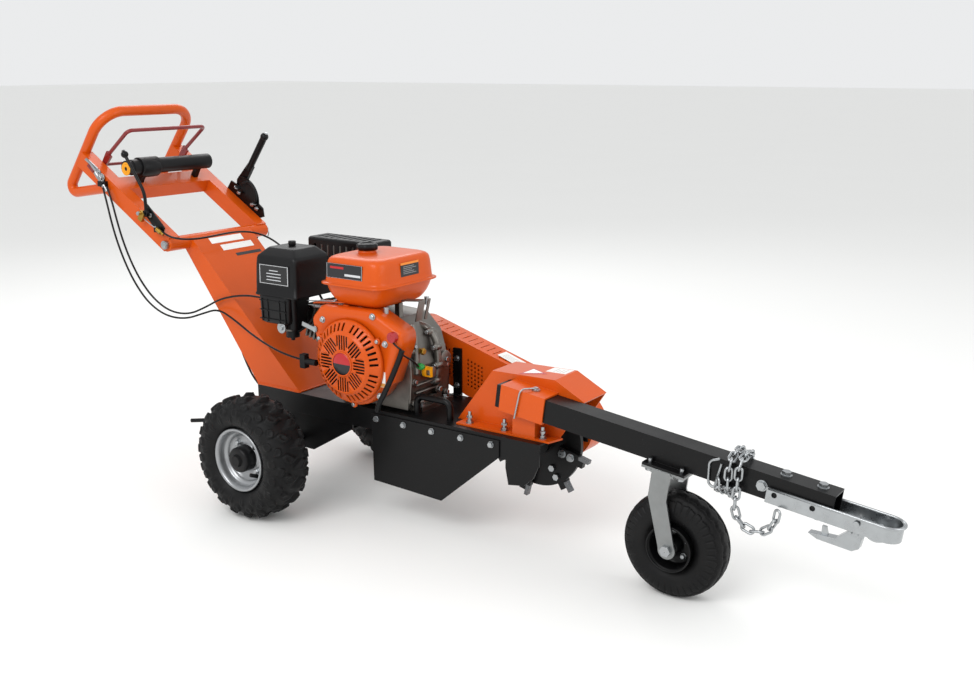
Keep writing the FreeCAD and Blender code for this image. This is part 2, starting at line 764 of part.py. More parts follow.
crank_y0 = cowl_y - recoil_deep + 8
crank_y1 = pulley_y + pulley_w / 2
save("crankshaft", cyl_y(crank_x, crank_z, crank_r, crank_y0, crank_y1))


def flywheel():
    hub = cyl_y(crank_x, crank_z, 92, -124, -112)
    boss = cyl_y(crank_x, crank_z, 26, -150, -111)
    blades = []
    for k in range(12):
        blade = box(40, 90, -148, -123, -2, 2)
        blade.rotate(V(0, 0, 0), AY, 30 * k)
        blade.translate(V(crank_x, 0, crank_z))
        blades.append(blade)
    return fuse(hub, boss, *blades).cut(cyl_y(crank_x, crank_z, crank_r + run_fit, -200, 0))


save("flywheel", flywheel())


def pulley(x, z, r, bore):
    w = pulley_w / 2
    groove = belt_w / 2 + 2
    base = r - belt_t - 1
    prof = [(bore, -w), (r, -w), (r, -groove - 2), (base, -groove + 1), (base, groove - 1),
            (r, groove + 2), (r, w), (bore, w)]
    return turned_y(prof, x, pulley_y, z)


save("drive_pulley", pulley(crank_x, crank_z, drive_r, crank_r + run_fit))
save("driven_pulley", pulley(cutter_x, cutter_z, driven_r, cutter_shaft_r + run_fit))

belt_in = belt_t + 0.7
belt_out = 0.7
belt = two_circle_prism(drive_r - belt_out, driven_r - belt_out, pulley_y - belt_w / 2,
                        pulley_y + belt_w / 2)
belt = belt.cut(two_circle_prism(drive_r - belt_in, driven_r - belt_in, pulley_y - belt_w / 2 - 1,
                                 pulley_y + belt_w / 2 + 1))
save("drive_belt", belt)


def guard_back():
    plate = two_circle_prism(guard_rear_r - guard_t - gap, guard_front_r - guard_t - gap, guard_y,
                             guard_y + guard_t)
    plate = plate.cut(cyl_y(crank_x, crank_z, 30, guard_y - 1, guard_y + 4))
    plate = plate.cut(cyl_y(cutter_x, cutter_z, 24, guard_y - 1, guard_y + 4))
    # two fields of square holes either side of the strap
    holes = []
    pitch = 12.0
    for x0 in (330.0, 432.0):
        for i in range(5):
            for j in range(7):
                x = x0 + pitch * i
                z = 0.0 + crank_z + 24 - (x - crank_x) * 0.33 - pitch * j
                holes.append(box(x, x + 6, guard_y - 1, guard_y + 4, z, z + 6))
    plate = plate.cut(Part.makeCompound(holes))
    return pierced(plate, strap_bolts)


def guard_cover():
    y1 = guard_y + guard_w
    outer = two_circle_prism(guard_rear_r, guard_front_r, guard_y, y1)
    inner = two_circle_prism(guard_rear_r - guard_t, guard_front_r - guard_t, guard_y - 1, y1 - guard_t)
    shell = outer.cut(inner)
    # rows of cooling slots through the sloping top
    run = math.hypot(cutter_x - crank_x, cutter_z - crank_z)
    turn = math.degrees(math.atan2(cutter_z - crank_z, cutter_x - crank_x))
    turn += math.degrees(math.asin((guard_front_r - guard_rear_r) / run))
    slots = []
    for k in range(13):
        slot = box(30 + 22 * k, 33 + 22 * k, guard_y + 16, y1 - 18, guard_rear_r - 8, guard_rear_r + 4)
        slot.rotate(V(0, 0, 0), AY, -turn)
        slot.translate(V(crank_x, 0, crank_z))
        slots.append(slot)
    return shell.cut(Part.makeCompound(slots))


save("belt_guard_back", guard_back())
save("belt_guard_cover", guard_cover())
strap = box(strap_x - 14, strap_x + 14, strap_y, guard_y, deck_top, 455)
strap_foot = box(strap_x - 14, strap_x + 14, strap_y - 22, strap_y + 1, deck_top, deck_top + 5)
save("guard_strap", pierced(fuse(strap, strap_foot), strap_bolts))


def rounded_block(x0, x1, y0, y1, z0, z1, shrink, r):
    # lofted block: full size at z0, shrunk by the given amount at z1, corners rounded by r
    def outline(m, z):
        face = Part.makePlane(x1 - x0 - 2 * m, y1 - y0 - 2 * m, V(x0 + m, y0 + m, z))
        solid = face.extrude(V(0, 0, 1))
        solid = solid.makeFillet(r, [e for e in solid.Edges
                                     if abs(e.Vertexes[0].Z - e.Vertexes[1].Z) > 0.5])
        low = [f for f in solid.Faces if abs(f.CenterOfMass.z - z) < 1e-6][0]
        return low.OuterWire
    return Part.makeLoft([outline(0, z0), outline(shrink, z1)], True, True)


def fuel_tank():
    flange = box(tank_x0 - 10, tank_x1 + 10, tank_y0 - 10, tank_y1 + 10, tank_seam - 3, tank_seam + 3)
    flange = flange.makeFillet(32, [e for e in flange.Edges
                                    if abs(e.Vertexes[0].Z - e.Vertexes[1].Z) > 1])
    top = rounded_block(tank_x0, tank_x1, tank_y0, tank_y1, tank_seam, tank_z1 - 14, 8, 28)
    crown = rounded_block(tank_x0 + 8, tank_x1 - 8, tank_y0 + 8, tank_y1 - 8, tank_z1 - 14, tank_z1, 18, 26)
    low = rounded_block(tank_x0, tank_x1, tank_y0, tank_y1, tank_seam, tank_z0, 22, 28)
    body = fuse(flange, top, crown, low)
    t = 3.0
    hollow = fuse(rounded_block(tank_x0 + t, tank_x1 - t, tank_y0 + t, tank_y1 - t, tank_seam,
                                tank_z1 - 14 - t, 9, 26),
                  rounded_block(tank_x0 + t, tank_x1 - t, tank_y0 + t, tank_y1 - t, tank_seam,
                                tank_z0 + t, 21, 26))
    neck = cyl((cap_x, cap_y, tank_z1 - 2), AZ, 20, 10)
    body = body.fuse(neck).cut(hollow)
    posts = [box(x - 8, x + 8, y - 8, y + 8, 574, tank_z0 + 6) for x, y in ((200, -40), (320, -40))]
    body = body.cut(cyl((cap_x, cap_y, tank_z1 - 30), AZ, 16, 60))
    return body, posts


cap_x, cap_y = 228.0, -60.0
tank, posts = fuel_tank()
posts = [post.cut(tank) for post in posts]
posts = [max(post.Solids, key=lambda s: -s.CenterOfMass.z) for post in posts]
post_feet = box(192, 328, -48, -32, 560, 575)
save("engine_block", fuse(block, post_feet.cut(block), *posts))
save("fuel_tank", tank)
cap = fuse(cyl((cap_x, cap_y, tank_z1 + 8 + gap), AZ, 27, 14),
           cyl((cap_x, cap_y, tank_z1 - 6), AZ, 16 - run_fit, 16))
save("fuel_cap", cap)


def air_filter_cover():
    outer = rounded_block(filter_x0, filter_x1, filter_y0, filter_y1, filter_z0, filter_z1 - 22, 5, 14)
    top = rounded_block(filter_x0 + 5, filter_x1 - 5, filter_y0 + 5, filter_y1 - 5, filter_z1 - 22,
                        filter_z1, 22, 12)
    hollow = rounded_block(filter_x0 + 3, filter_x1 - 3, filter_y0 + 3, filter_y1 - 3, filter_z0 - 1,
                           filter_z1 - 26, 5, 12)
    mid_x = (filter_x0 + filter_x1) / 2
    mid_y = (filter_y0 + filter_y1) / 2
    knob = cyl((mid_x, mid_y, filter_z1 - 2), AZ, 9, 14)
    return fuse(outer, top, knob).cut(hollow)


save("air_filter_cover", air_filter_cover())

stem_x0, stem_x1 = -64.0, 22.0


def carburettor():
    tray = rounded_block(filter_x0 + 3.6, filter_x1 - 3.6, filter_y0 + 3.6, filter_y1 - 3.6, filter_z0 + 2,
                         filter_z0 + 8, 0.4, 12)
    stem = rounded_block(stem_x0, stem_x1, -148, -70, filter_z0 + 4, 506, 6, 16)
    throat = box(-30, 14, -82, -64 - gap, 512, 560)
    bowl = cyl((-20, -110, 478), AZ, 20, 30)
    tail = cyl((-20, -110, 468), AZ, 6, 12)
    return fuse(tray, stem, throat, bowl, tail)


save("carburettor", carburettor())

muf_x0, muf_x1, muf_y0, muf_y1, muf_z0, muf_z1 = -160.0, 104.0, 109.0, 201.0, 604.0, 734.0


def muffler():
    drum = rounded_block(muf_x0 + 14, muf_x1 - 14, muf_y0 + 12, muf_y1 - 12, muf_z0 + 12, muf_z1 - 14, 4, 24)
    pipe = bent_tube([(0, 64 + gap, 530), (0, 117, 530), (0, 155, 556), (0, 155, 626)], 13, 0.4)
    return fuse(drum, pipe)


def muffler_guard():
    shell = box(muf_x0, muf_x1, muf_y0, muf_y1, muf_z0, muf_z1)
    shell = shell.makeFillet(10, shell.Edges)
    shell = shell.cut(box(muf_x0 + 3, muf_x1 - 3, muf_y0 + 3, muf_y1 - 3, muf_z0 - 5, muf_z1 - 3))
    slots = []
    for k in range(9):
        x = muf_x0 + 28 + 25 * k
        slots.append(box(x, x + 10, muf_y0 + 16, muf_y1 - 16, muf_z1 - 6, muf_z1 + 2))
        slots.append(box(x, x + 10, muf_y0 - 2, muf_y0 + 6, muf_z0 + 24, muf_z1 - 20))
    shell = shell.cut(Part.makeCompound(slots))
    lugs = [box(x, x + 20, muf_y1 - 13, muf_y1 - 2.5, muf_z0 + 40, muf_z0 + 60)
            for x in (muf_x0 + 30, muf_x1 - 50)]
    body = fuse(shell, *lugs)
    return body


muf = muffler()
save("muffler", muf)
save("muffler_guard", muffler_guard().cut(muf))

# ---- small engine controls ---------------------------------------------------------------------

save("oil_cap", fuse(cyl((oil_x + 6 + gap, oil_y, oil_z), AX, 15, 9),
                     cyl((oil_x - 10, oil_y, oil_z), AX, 9, 18),
                     box(oil_x + 14, oil_x + 30, oil_y - 4, oil_y + 4, oil_z - 14, oil_z + 14)))
save("engine_switch", fuse(cyl_y(switch_x, switch_z, 14, cowl_y - 14, cowl_y - gap),
                           cyl_y(switch_x, switch_z, 7, cowl_y - 2, cowl_y + 12)))
choke_arm = box(choke_x - 46, choke_x + 6, cowl_y - 7, cowl_y - 4, choke_z - 6, choke_z + 6)
choke_arm.rotate(V(choke_x, 0, choke_z), AY, 14)
save("choke_lever", fuse(choke_arm, cyl_y(choke_x, choke_z, 4, cowl_y - 7, cowl_y + 12),
                         cyl_y(choke_x, choke_z, 9, cowl_y - 5, cowl_y - gap)))
rope_y = cowl_y - gap - 14
grip_end = crank_x - math.sqrt(recoil_r ** 2 - (crank_z - rope_z - 9) ** 2) - gap
save("starter_grip", fuse(cyl((96, rope_y, rope_z), AX, 9, grip_end - 96),
                          box(78, 97, rope_y - 9, rope_y + 9, rope_z - 20, rope_z + 20)))

# ---- cutter ------------------------------------------------------------------------------------

hub_half = 24.0
shaft_y0 = -bearing_y - bearing_w / 2 - 6
save("cutter_shaft", cyl_y(cutter_x, cutter_z, cutter_shaft_r, shaft_y0, pulley_y + pulley_w / 2 + 4))


def around(shape, angle):
    turned = shape.copy()
    turned.rotate(V(cutter_x, 0, cutter_z), AY, angle)
    return turned


tooth_angles = [360.0 / tooth_count * k + 14 for k in range(tooth_count)]
tooth_holes = [cyl_y(cutter_x + r, cutter_z, 5 + gap, -40, 40) for r in (84.0, 110.0)]


def cutter_disc():
    disc = cyl_y(cutter_x, cutter_z, disc_r, -disc_t / 2, disc_t / 2)
    hub = cyl_y(cutter_x, cutter_z, 40, -hub_half, hub_half)
    body = fuse(disc, hub).cut(cyl_y(cutter_x, cutter_z, cutter_shaft_r + run_fit, -60, 60))
    holes = [around(hole, a) for a in tooth_angles for hole in tooth_holes]
    return body.cut(Part.makeCompound(holes))


save("cutter_disc", cutter_disc())
holders = []
tips = []
bolts = []
for k, angle in enumerate(tooth_angles):
    side = 1 if k % 2 else -1
    y_in = side * disc_t / 2
    y_out = side * (disc_t / 2 + 16)
    low, high = min(y_in, y_out), max(y_in, y_out)
    holder = box(cutter_x + 70, cutter_x + 148, low, high, cutter_z - 15, cutter_z + 15)
    for hole in tooth_holes:
        holder = holder.cut(hole)
    pocket = box(cutter_x + 132, cutter_x + 150, low - 1, high + 1, cutter_z + 3, cutter_z + 16)
    holders.append(around(holder.cut(pocket), angle))
    tip = box(cutter_x + 132, cutter_x + tip_r - 3, low, high, cutter_z + 3, cutter_z + 13)
    tips.append(around(tip, angle))
    for r in (84.0, 110.0):
        head = bolt((cutter_x + r, y_out, cutter_z), V(0, side, 0), 10.0, 16 + disc_t)
        nut = hexagon((cutter_x + r, -y_in, cutter_z), V(0, -side, 0), 16, 8)
        bolts.append(around(fuse(head, nut), angle))
save("tooth_holders", holders)
save("cutter_teeth", tips)
save("tooth_bolts", bolts)


def pillow_bearing(s):
    y0 = s * bearing_y - bearing_w / 2
    y1 = y0 + bearing_w
    ring = cyl_y(cutter_x, cutter_z, 27.5, y0, y1)
    below = box(cutter_x - 60, cutter_x + 60, y0, y1, cutter_z - 60, deck_under)
    foot = box(cutter_x - 46, cutter_x + 46, y0, y1, deck_under - bearing_foot, deck_under)
    body = fuse(ring.common(below), foot)
    body = body.cut(cyl_y(cutter_x, cutter_z, cutter_shaft_r + run_fit, y0 - 1, y1 + 1))
    return pierced(body, bearing_bolts)


save("pillow_bearings", [pillow_bearing(-1), pillow_bearing(1)])

# ---- hood with the bar's sleeve ----------------------------------------------------------------


def sleeve():
    half = bar_size / 2 + 0.5
    out = half + sleeve_wall
    outer = box(sleeve_s0, sleeve_s1, -out, out, -out, out)
    return on_bar(outer), on_bar(box(sleeve_s0 - 9, sleeve_s1 + 9, -half, half, -half, half))


pin_s = 98.0
pin_r = 6.0
pin_hole = on_bar(cyl((pin_s, 0, -60), AZ, pin_r + run_fit, 140))


def hood():
    y = hood_w / 2
    t = hood_t
    side = [(533, deck_top), (646, 466), (837, 470), (924, 425), (852, deck_top)]
    inner = [(533 + 5, deck_top - 10), (533 + 8, deck_top), (648, 466 - t), (836, 470 - t),
             (921, 425 - t + 0.5), (940, 400), (940, deck_top - 10)]
    shell = prism_y(side, -y, y).cut(prism_y(inner, -y + t, y - t))
    near = prism_z([(560, -y + 1), (560, -deck_y + 22), (849, -deck_y + 22), (862, -y + 1)],
                   deck_top, deck_top + 5)
    far = prism_z([(560, y - 1), (560, deck_y - 2), (835, deck_y - 2), (852, y - 1)], deck_top, deck_top + 5)
    tube, bore = sleeve()
    crate = box(738, 806, -y - 44, -y + 1, deck_top + 4, 388)
    body = fuse(shell, near, far, tube, crate)
    room = box(742, 802, -y - 40, -y - 4, deck_top + 5, 384)
    body = body.cut(room).cut(bore).cut(pin_hole)
    inside = prism_y(inner, -y + t, y - t)
    body = body.cut(inside)
    return pierced(body, hood_bolts + far_hood_bolts)


hood_body = hood()
save("cutter_hood", hood_body)

all_bolts = deck_bolts + strap_bolts
save("frame_bolts", [bolt(*item) for item in all_bolts])

# ---- tow bar -----------------------------------------------------------------------------------


def tow_bar():
    h = bar_size / 2
    bar = box(0, bar_len, -h, h, -h, h).cut(box(-1, bar_len + 1, -h + bar_wall, h - bar_wall,
                                                -h + bar_wall, h - bar_wall))
    plate = box(plate_s, plate_s + plate_size, -plate_size / 2, plate_size / 2, -h - 6, -h)
    body = on_bar(fuse(bar, plate)).cut(pin_hole)
    return pierced(body, bar_bolts)


def bar_bolt(s, y, n, up, size, length):
    p = on_bar(Part.Vertex(s, y, n)).Point
    d = on_bar(Part.Vertex(s, y, n + up)).Point - p
    return ((p.x, p.y, p.z), d, size, length)


plate_under = -bar_size / 2 - 6
fork_t = 6.0
bolt_in = 14.0
chain_bolt_s = 725.0
plate_bolts = [bar_bolt(s, y, plate_under - fork_t, -1, 10.0, 22.0)
               for s in (plate_s + bolt_in, plate_s + plate_size - bolt_in)
               for y in (-plate_size / 2 + bolt_in, plate_size / 2 - bolt_in)]
coupler_bolts = [bar_bolt(s, 0, bar_size / 2, 1, 12.0, 78.0) for s in (765.0, 850.0)]
p_chain = on_bar(Part.Vertex(chain_bolt_s, -bar_size / 2, 0)).Point
chain_bolt = [((p_chain.x, p_chain.y, p_chain.z), V(0, -1, 0), 12.0, 14.0)]
bar_bolts = plate_bolts + coupler_bolts + chain_bolt
save("tow_bar", tow_bar())
save("tow_bar_bolts", [bolt(*item) for item in bar_bolts])


def coupler():
    h = bar_size / 2
    t = 4.0
    w = h + gap + t
    floor_n = -h - gap - t
    top_n = 2.0
    nose_r = w
    s_round = coupler_s1 - nose_r
    outer = fuse(box(coupler_s0, s_round, -w, w, floor_n, top_n),
                 cyl((s_round, 0, floor_n), AZ, nose_r, top_n - floor_n))
    inner = fuse(box(coupler_s0 - 1, s_round, -w + t, w - t, floor_n + t, top_n + 1),
                 cyl((s_round, 0, floor_n + t), AZ, nose_r - t, top_n - floor_n))
    lip = fuse(box(bar_len + 20, s_round, -w - 5, w + 5, top_n - 3, top_n),
               cyl((s_round, 0, top_n - 3), AZ, nose_r + 5 - 3, 3))
    dome = Part.makeSphere(ball_r + 0.6 + t, V(ball_s, 0, -22))
    socket = Part.makeSphere(ball_r + 0.6, V(ball_s, 0, -22))
    body = fuse(outer, dome, lip).cut(inner).cut(socket)
    body = body.cut(box(coupler_s0, coupler_s1 + 20, -w - 10, w + 10, top_n, 60))
    body = body.cut(cyl((ball_s, 0, -22), AZ, ball_r + 0.6, 60))
    for s in (757.0, 845.0):
        body = body.cut(cyl((s, -60, -12), AY, 6.5, 120))
    latch_slot = box(922, 958, -12, 12, floor_n - 30, floor_n + t + 1)
    body = body.cut(latch_slot)
    ears = [box(928, 960, s * 14 - 2, s * 14 + 2, floor_n - 16, floor_n + 1) for s in (-1, 1)]
    body = fuse(body, *ears)
    body = body.cut(socket)
    body = body.cut(cyl((944, -30, floor_n - 10), AY, 4 + run_fit, 60))
    return pierced(on_bar(body), coupler_bolts)


save("coupler", coupler())
latch_s, latch_n = 944.0, -bar_size / 2 - gap - 4 - 10


def coupler_latch():
    pin = cyl((latch_s, -18, latch_n), AY, 4, 36)
    cheeks = prism_y([(930, latch_n + 4), (954, latch_n + 4), (956, latch_n - 12), (954, latch_n - 34),
                      (940, latch_n - 44),
                      (862, latch_n - 44), (840, latch_n - 36), (900, latch_n - 28)], -11, 11)
    hook = prism_y([(868, latch_n - 36), (884, latch_n - 36), (876, latch_n - 12), (866, latch_n - 12)], -4, 4)
    tongue = box(939, 949, -8, 8, latch_n - 4, latch_n + 14)
    return on_bar(fuse(pin, cheeks, hook, tongue))


save("coupler_latch", coupler_latch())


def hitch_pin():
    top = bar_size / 2 + 0.5 + sleeve_wall + gap
    pin = cyl((pin_s, 0, -42), AZ, pin_r, top + 50)
    eye = cyl((pin_s, 0, top), AZ, 11, 4)
    side_y = -bar_size / 2 - sleeve_wall - 5
    wire = bent_tube([(pin_s, 0, top + 6), (pin_s - 22, side_y - 1, top + 6), (pin_s - 30, side_y - 1, -40)],
                     2.2, 0.3)
    return on_bar(fuse(pin, eye, wire))


save("hitch_pin", hitch_pin())


def fork():
    ws, wn = to_bar(front_x, front_r)
    inner_y = front_w / 2 + 9
    top = plate_under
    plate = box(plate_s, plate_s + plate_size, -plate_size / 2, plate_size / 2, top - fork_t, top)
    mid = plate_s + plate_size / 2
    legs = []
    for s in (-1, 1):
        y0 = min(s * inner_y, s * (inner_y + leg_t))
        hw = leg_w / 2
        bend = wn + 120
        leg = fuse(prism_y([(mid - hw - 4, top - 1), (mid + hw, top - 1), (mid + hw, bend),
                            (ws + hw, wn), (ws - hw, wn), (mid - hw - 4, bend)], y0, y0 + leg_t),
                   cyl_y(ws, wn, hw, y0, y0 + leg_t))
        legs.append(leg)
    crown = box(mid - 30, mid + 30, -inner_y - leg_t, inner_y + leg_t, top - fork_t - 4, top - fork_t + 1)
    body = fuse(plate, crown, *legs)
    body = body.cut(cyl_y(ws, wn, front_axle_r + run_fit, -200, 200))
    return pierced(on_bar(body), plate_bolts)


save("front_fork", fork())
leg_out = front_w / 2 + 9 + leg_t
axle_bolt = fuse(cyl_y(front_x, front_r, front_axle_r, bar_y - leg_out - 1, bar_y + leg_out + 12),
                 hexagon((front_x, bar_y - leg_out - gap, front_r), V(0, -1, 0), 24, 9),
                 hexagon((front_x, bar_y + leg_out + gap, front_r), V(0, 1, 0), 24, 9))
save("front_axle", axle_bolt)


def front_wheel():
    half = 30.0
    t = 3.0
    prof = [(44, half - t), (front_rim_r, half - t), (front_rim_r, half), (44 - t, half), (44 - t, 5),
            (18, 5), (18, front_w / 2 + 8), (front_axle_r + run_fit, front_w / 2 + 8),
            (front_axle_r + run_fit, -front_w / 2 - 8), (18, -front_w / 2 - 8), (18, -5), (44 - t, -5),
            (44 - t, -half), (front_rim_r, -half), (front_rim_r, -half + t), (44, -half + t)]
    rim = turned_y(prof, front_x, bar_y, front_r)
    nuts = [hexagon((front_x + 31 * math.cos(a), bar_y - 5, front_r + 31 * math.sin(a)), V(0, -1, 0), 11, 6)
            for a in [math.radians(72 * k + 20) for k in range(5)]]
    rim = fuse(rim, *nuts)
    w = front_w / 2
    bead = 44 + gap
    by = half - t - gap
    skin = [(bead, by), (front_rim_r + 2, by), (76, w - 3), (92, w), (110, w - 4), (124, w - 14),
            (front_r - 1.5, w - 24), (front_r, w - 32)]
    inner = [(front_r - 12, w - 32), (104, w - 14), (88, w - 9), (70, by - 8), (bead, by - 9)]
    profile = skin + [(r, -o) for r, o in reversed(skin)]
    profile += [(r, -o) for r, o in reversed(inner)] + inner
    tyre = turned_y(profile, front_x, bar_y, front_r)
    return rim, tyre


front_rim, front_tyre = front_wheel()
save("front_rim", front_rim)
save("front_tyre", front_tyre)

# ---- safety chain and its hook -----------------------------------------------------------------


def link_shape():
    # one round-wire link lying in the XY plane, long along X
    r = chain_d / 2
    half = (chain_len - chain_wide) / 2
    bend = chain_wide / 2 - r
    pts = [V(-half, -bend, 0), V(half, -bend, 0), V(half + bend, 0, 0), V(half, bend, 0),
           V(-half, bend, 0), V(-half - bend, 0, 0)]
    edges = [Part.LineSegment(pts[0], pts[1]).toShape(), Part.Arc(pts[1], pts[2], pts[3]).toShape(),
             Part.LineSegment(pts[3], pts[4]).toShape(), Part.Arc(pts[4], pts[5], pts[0]).toShape()]
    path = Part.Wire(edges)
    ring = Part.Wire(Part.makeCircle(r, pts[0], AX))
    return path.makePipeShell([ring], True, False)


def chain_path():
    # two turns round the bar, then a loop that hangs below it
    off = bar_size / 2 + chain_wide / 2 + 5.5
    start, step, steps = 628.0, 23.5, 16
    pts = []
    for k in range(2 * steps + 1):
        a = math.radians(-165 + 360.0 * k / steps)
        grow = 1 + 0.22 * math.sin(2 * a) ** 2
        pts.append((start + step * k / steps, off * grow * math.cos(a), off * grow * math.sin(a)))
    side = -off - 1
    loop_s, loop_n, loop_r2 = 727.0, -56.0, 50.0
    for k in range(13):
        a = math.radians(180 + 15 * k)
        pts.append((loop_s + loop_r2 * math.cos(a), side - 1, loop_n + loop_r2 * math.sin(a)))
    pts.append((loop_s + loop_r2, side - 1, -24))
    return [V(*p) for p in pts]


def point_at(pts, distance):
    for a, b in zip(pts, pts[1:]):
        run = (b - a).Length
        if distance <= run:
            return a + (b - a) * (distance / run)
        distance -= run
    return pts[-1]


def chain():
    master = link_shape()
    pts = chain_path()
    total = sum((b - a).Length for a, b in zip(pts, pts[1:]))
    pitch = chain_len - 2 * chain_d - 0.8
    links = []
    side = V(1, 1, 0).normalize()
    for k in range(int(total / pitch)):
        start = point_at(pts, k * pitch)
        end = point_at(pts, (k + 1) * pitch)
        d = (end - start).normalize()
        side = (side - d * side.dot(d)).normalize()
        flat = side if k % 2 else d.cross(side)
        up = d.cross(flat)
        link = master.copy()
        middle = (start + end) * 0.5
        link.Placement = FreeCAD.Placement(FreeCAD.Matrix(d.x, flat.x, up.x, middle.x,
                                                          d.y, flat.y, up.y, middle.y,
                                                          d.z, flat.z, up.z, middle.z, 0, 0, 0, 1))
        links.append(on_bar(link))
    return links


links = chain()
save("safety_chain", links)
hook_y = -bar_size / 2 - 3 - gap
hook = bent_tube([(619, hook_y, 30), (595, hook_y, 18), (601, hook_y, -36), (617, hook_y, -44),
                  (625, hook_y, 20)], 3, 0.4)
save("snap_hook", on_bar(hook))

# ---- parking pedal -----------------------------------------------------------------------------

pedal_out = -bracket_y - web_t / 2
pedal = fuse(cyl_y(pedal_x, pedal_z, 12, pedal_out - 22, pedal_out - gap),
             bent_tube([(pedal_x - 8, pedal_out - 14, pedal_z), (-140, pedal_out - 30, 212),
                        (-250, -188, 204), (-352, -224, 192)], 6, 0.3),
             cyl_y(pedal_x, pedal_z, pedal_pin_r, pedal_out - 8, -bracket_y + web_t / 2 + 4))
save("parking_pedal", pedal)
print(len(saved), "nodes; origin shift", round(origin_x, 2))
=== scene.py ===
import json
import math
import bmesh
import bpy
import numpy as np
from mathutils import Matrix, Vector


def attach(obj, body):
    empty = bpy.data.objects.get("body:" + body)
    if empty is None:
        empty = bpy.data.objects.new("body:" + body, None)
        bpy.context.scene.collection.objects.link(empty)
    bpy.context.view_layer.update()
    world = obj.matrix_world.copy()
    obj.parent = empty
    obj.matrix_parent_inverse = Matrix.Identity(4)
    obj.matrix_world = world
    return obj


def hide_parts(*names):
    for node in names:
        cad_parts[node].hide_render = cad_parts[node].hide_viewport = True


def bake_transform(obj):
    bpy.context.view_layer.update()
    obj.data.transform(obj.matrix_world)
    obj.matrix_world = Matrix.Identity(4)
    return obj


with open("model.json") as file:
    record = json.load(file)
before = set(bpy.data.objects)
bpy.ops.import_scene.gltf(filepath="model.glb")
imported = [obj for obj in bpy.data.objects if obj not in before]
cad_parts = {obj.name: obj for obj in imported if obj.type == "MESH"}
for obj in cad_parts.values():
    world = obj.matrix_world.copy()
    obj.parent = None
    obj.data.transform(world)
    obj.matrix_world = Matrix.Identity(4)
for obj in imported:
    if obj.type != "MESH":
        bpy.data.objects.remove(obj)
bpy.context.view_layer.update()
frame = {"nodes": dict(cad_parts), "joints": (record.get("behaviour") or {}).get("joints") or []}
nodes = frame["nodes"]
joints = {j["name"]: j for j in frame["joints"]}
axleX = joints["left_wheel_spin"]["pos_m"][0]  # everything below is placed in mm from the rear axle
print("frame loaded:", len(nodes), "nodes")


def at(x, y, z):
    # mm from the floor under the middle of the rear axle, to metres in the shared frame
    return (axleX + x / 1000, y / 1000, z / 1000)


def place(points):
    # the same for an array of points
    return np.asarray(points, float) / 1000 + np.array([axleX, 0, 0])


# --- camera, floor and light ---

view = {"eye": (2278.8, -2443.4, 1247.0), "ahead": (-0.5518, 0.7978, -0.2434), "lens": 42.17}
cameraData = bpy.data.cameras.new("camera")
cameraData.lens = view["lens"]
cameraData.clip_end = 200
camera = bpy.data.objects.new("camera", cameraData)
bpy.context.scene.collection.objects.link(camera)
camera.location = at(*view["eye"])
camera.rotation_euler = Vector(view["ahead"]).to_track_quat("-Z", "Y").to_euler()
bpy.context.scene.camera = camera

studio = {"key": 95, "fill": 35, "rim": 45, "sky": 0.86, "skyColour": "FBFCFD", "floor": "F4F4F2",
          "floorSize": 60.0}


def linear(hexColour):
    # sRGB hex to the linear colour that a shader takes
    c = np.array([int(hexColour[i:i + 2], 16) for i in (0, 2, 4)]) / 255
    c = np.where(c <= 0.04045, c / 12.92, ((c + 0.055) / 1.055) ** 2.4)
    return (*c.tolist(), 1.0)


def addNode(tree, kind, inputs=None, **settings):
    # one node with its settings; an input is given a number, a colour or another node's socket
    made = tree.nodes.new(kind)
    for key, value in settings.items():
        setattr(made, key, value)
    for key, value in (inputs or {}).items():
        if isinstance(value, bpy.types.NodeSocket):
            tree.links.new(value, made.inputs[key])
        else:
            made.inputs[key].default_value = value
    return made


world = bpy.data.worlds.new("studioSky")
world.use_nodes = True
bpy.context.scene.world = world
sky = world.node_tree.nodes["Background"]
sky.inputs["Color"].default_value = linear(studio["skyColour"])
sky.inputs["Strength"].default_value = studio["sky"]


def softLight(name, power, size, where, aim):
    # one wide lamp at a place in metres, turned towards its aim
    data = bpy.data.lights.new(name, "AREA")
    data.energy = power
    data.shape = "RECTANGLE"
    data.size, data.size_y = size
    lamp = bpy.data.objects.new(name, data)
    lamp.location = where
    lamp.rotation_euler = (Vector(aim) - Vector(where)).to_track_quat("-Z", "Y").to_euler()
    bpy.context.scene.collection.objects.link(lamp)


softLight("keyLight", studio["key"], (3.0, 2.0), (0.2, -3.4, 3.4), (0, 0, 0.4))
softLight("fillLight", studio["fill"], (2.5, 2.5), (3.8, 0.6, 2.2), (0, 0, 0.4))
softLight("rimLight", studio["rim"], (3.0, 1.6), (-2.6, 2.4, 3.2), (0, 0, 0.5))
bpy.context.scene.view_settings.view_transform = "Standard"


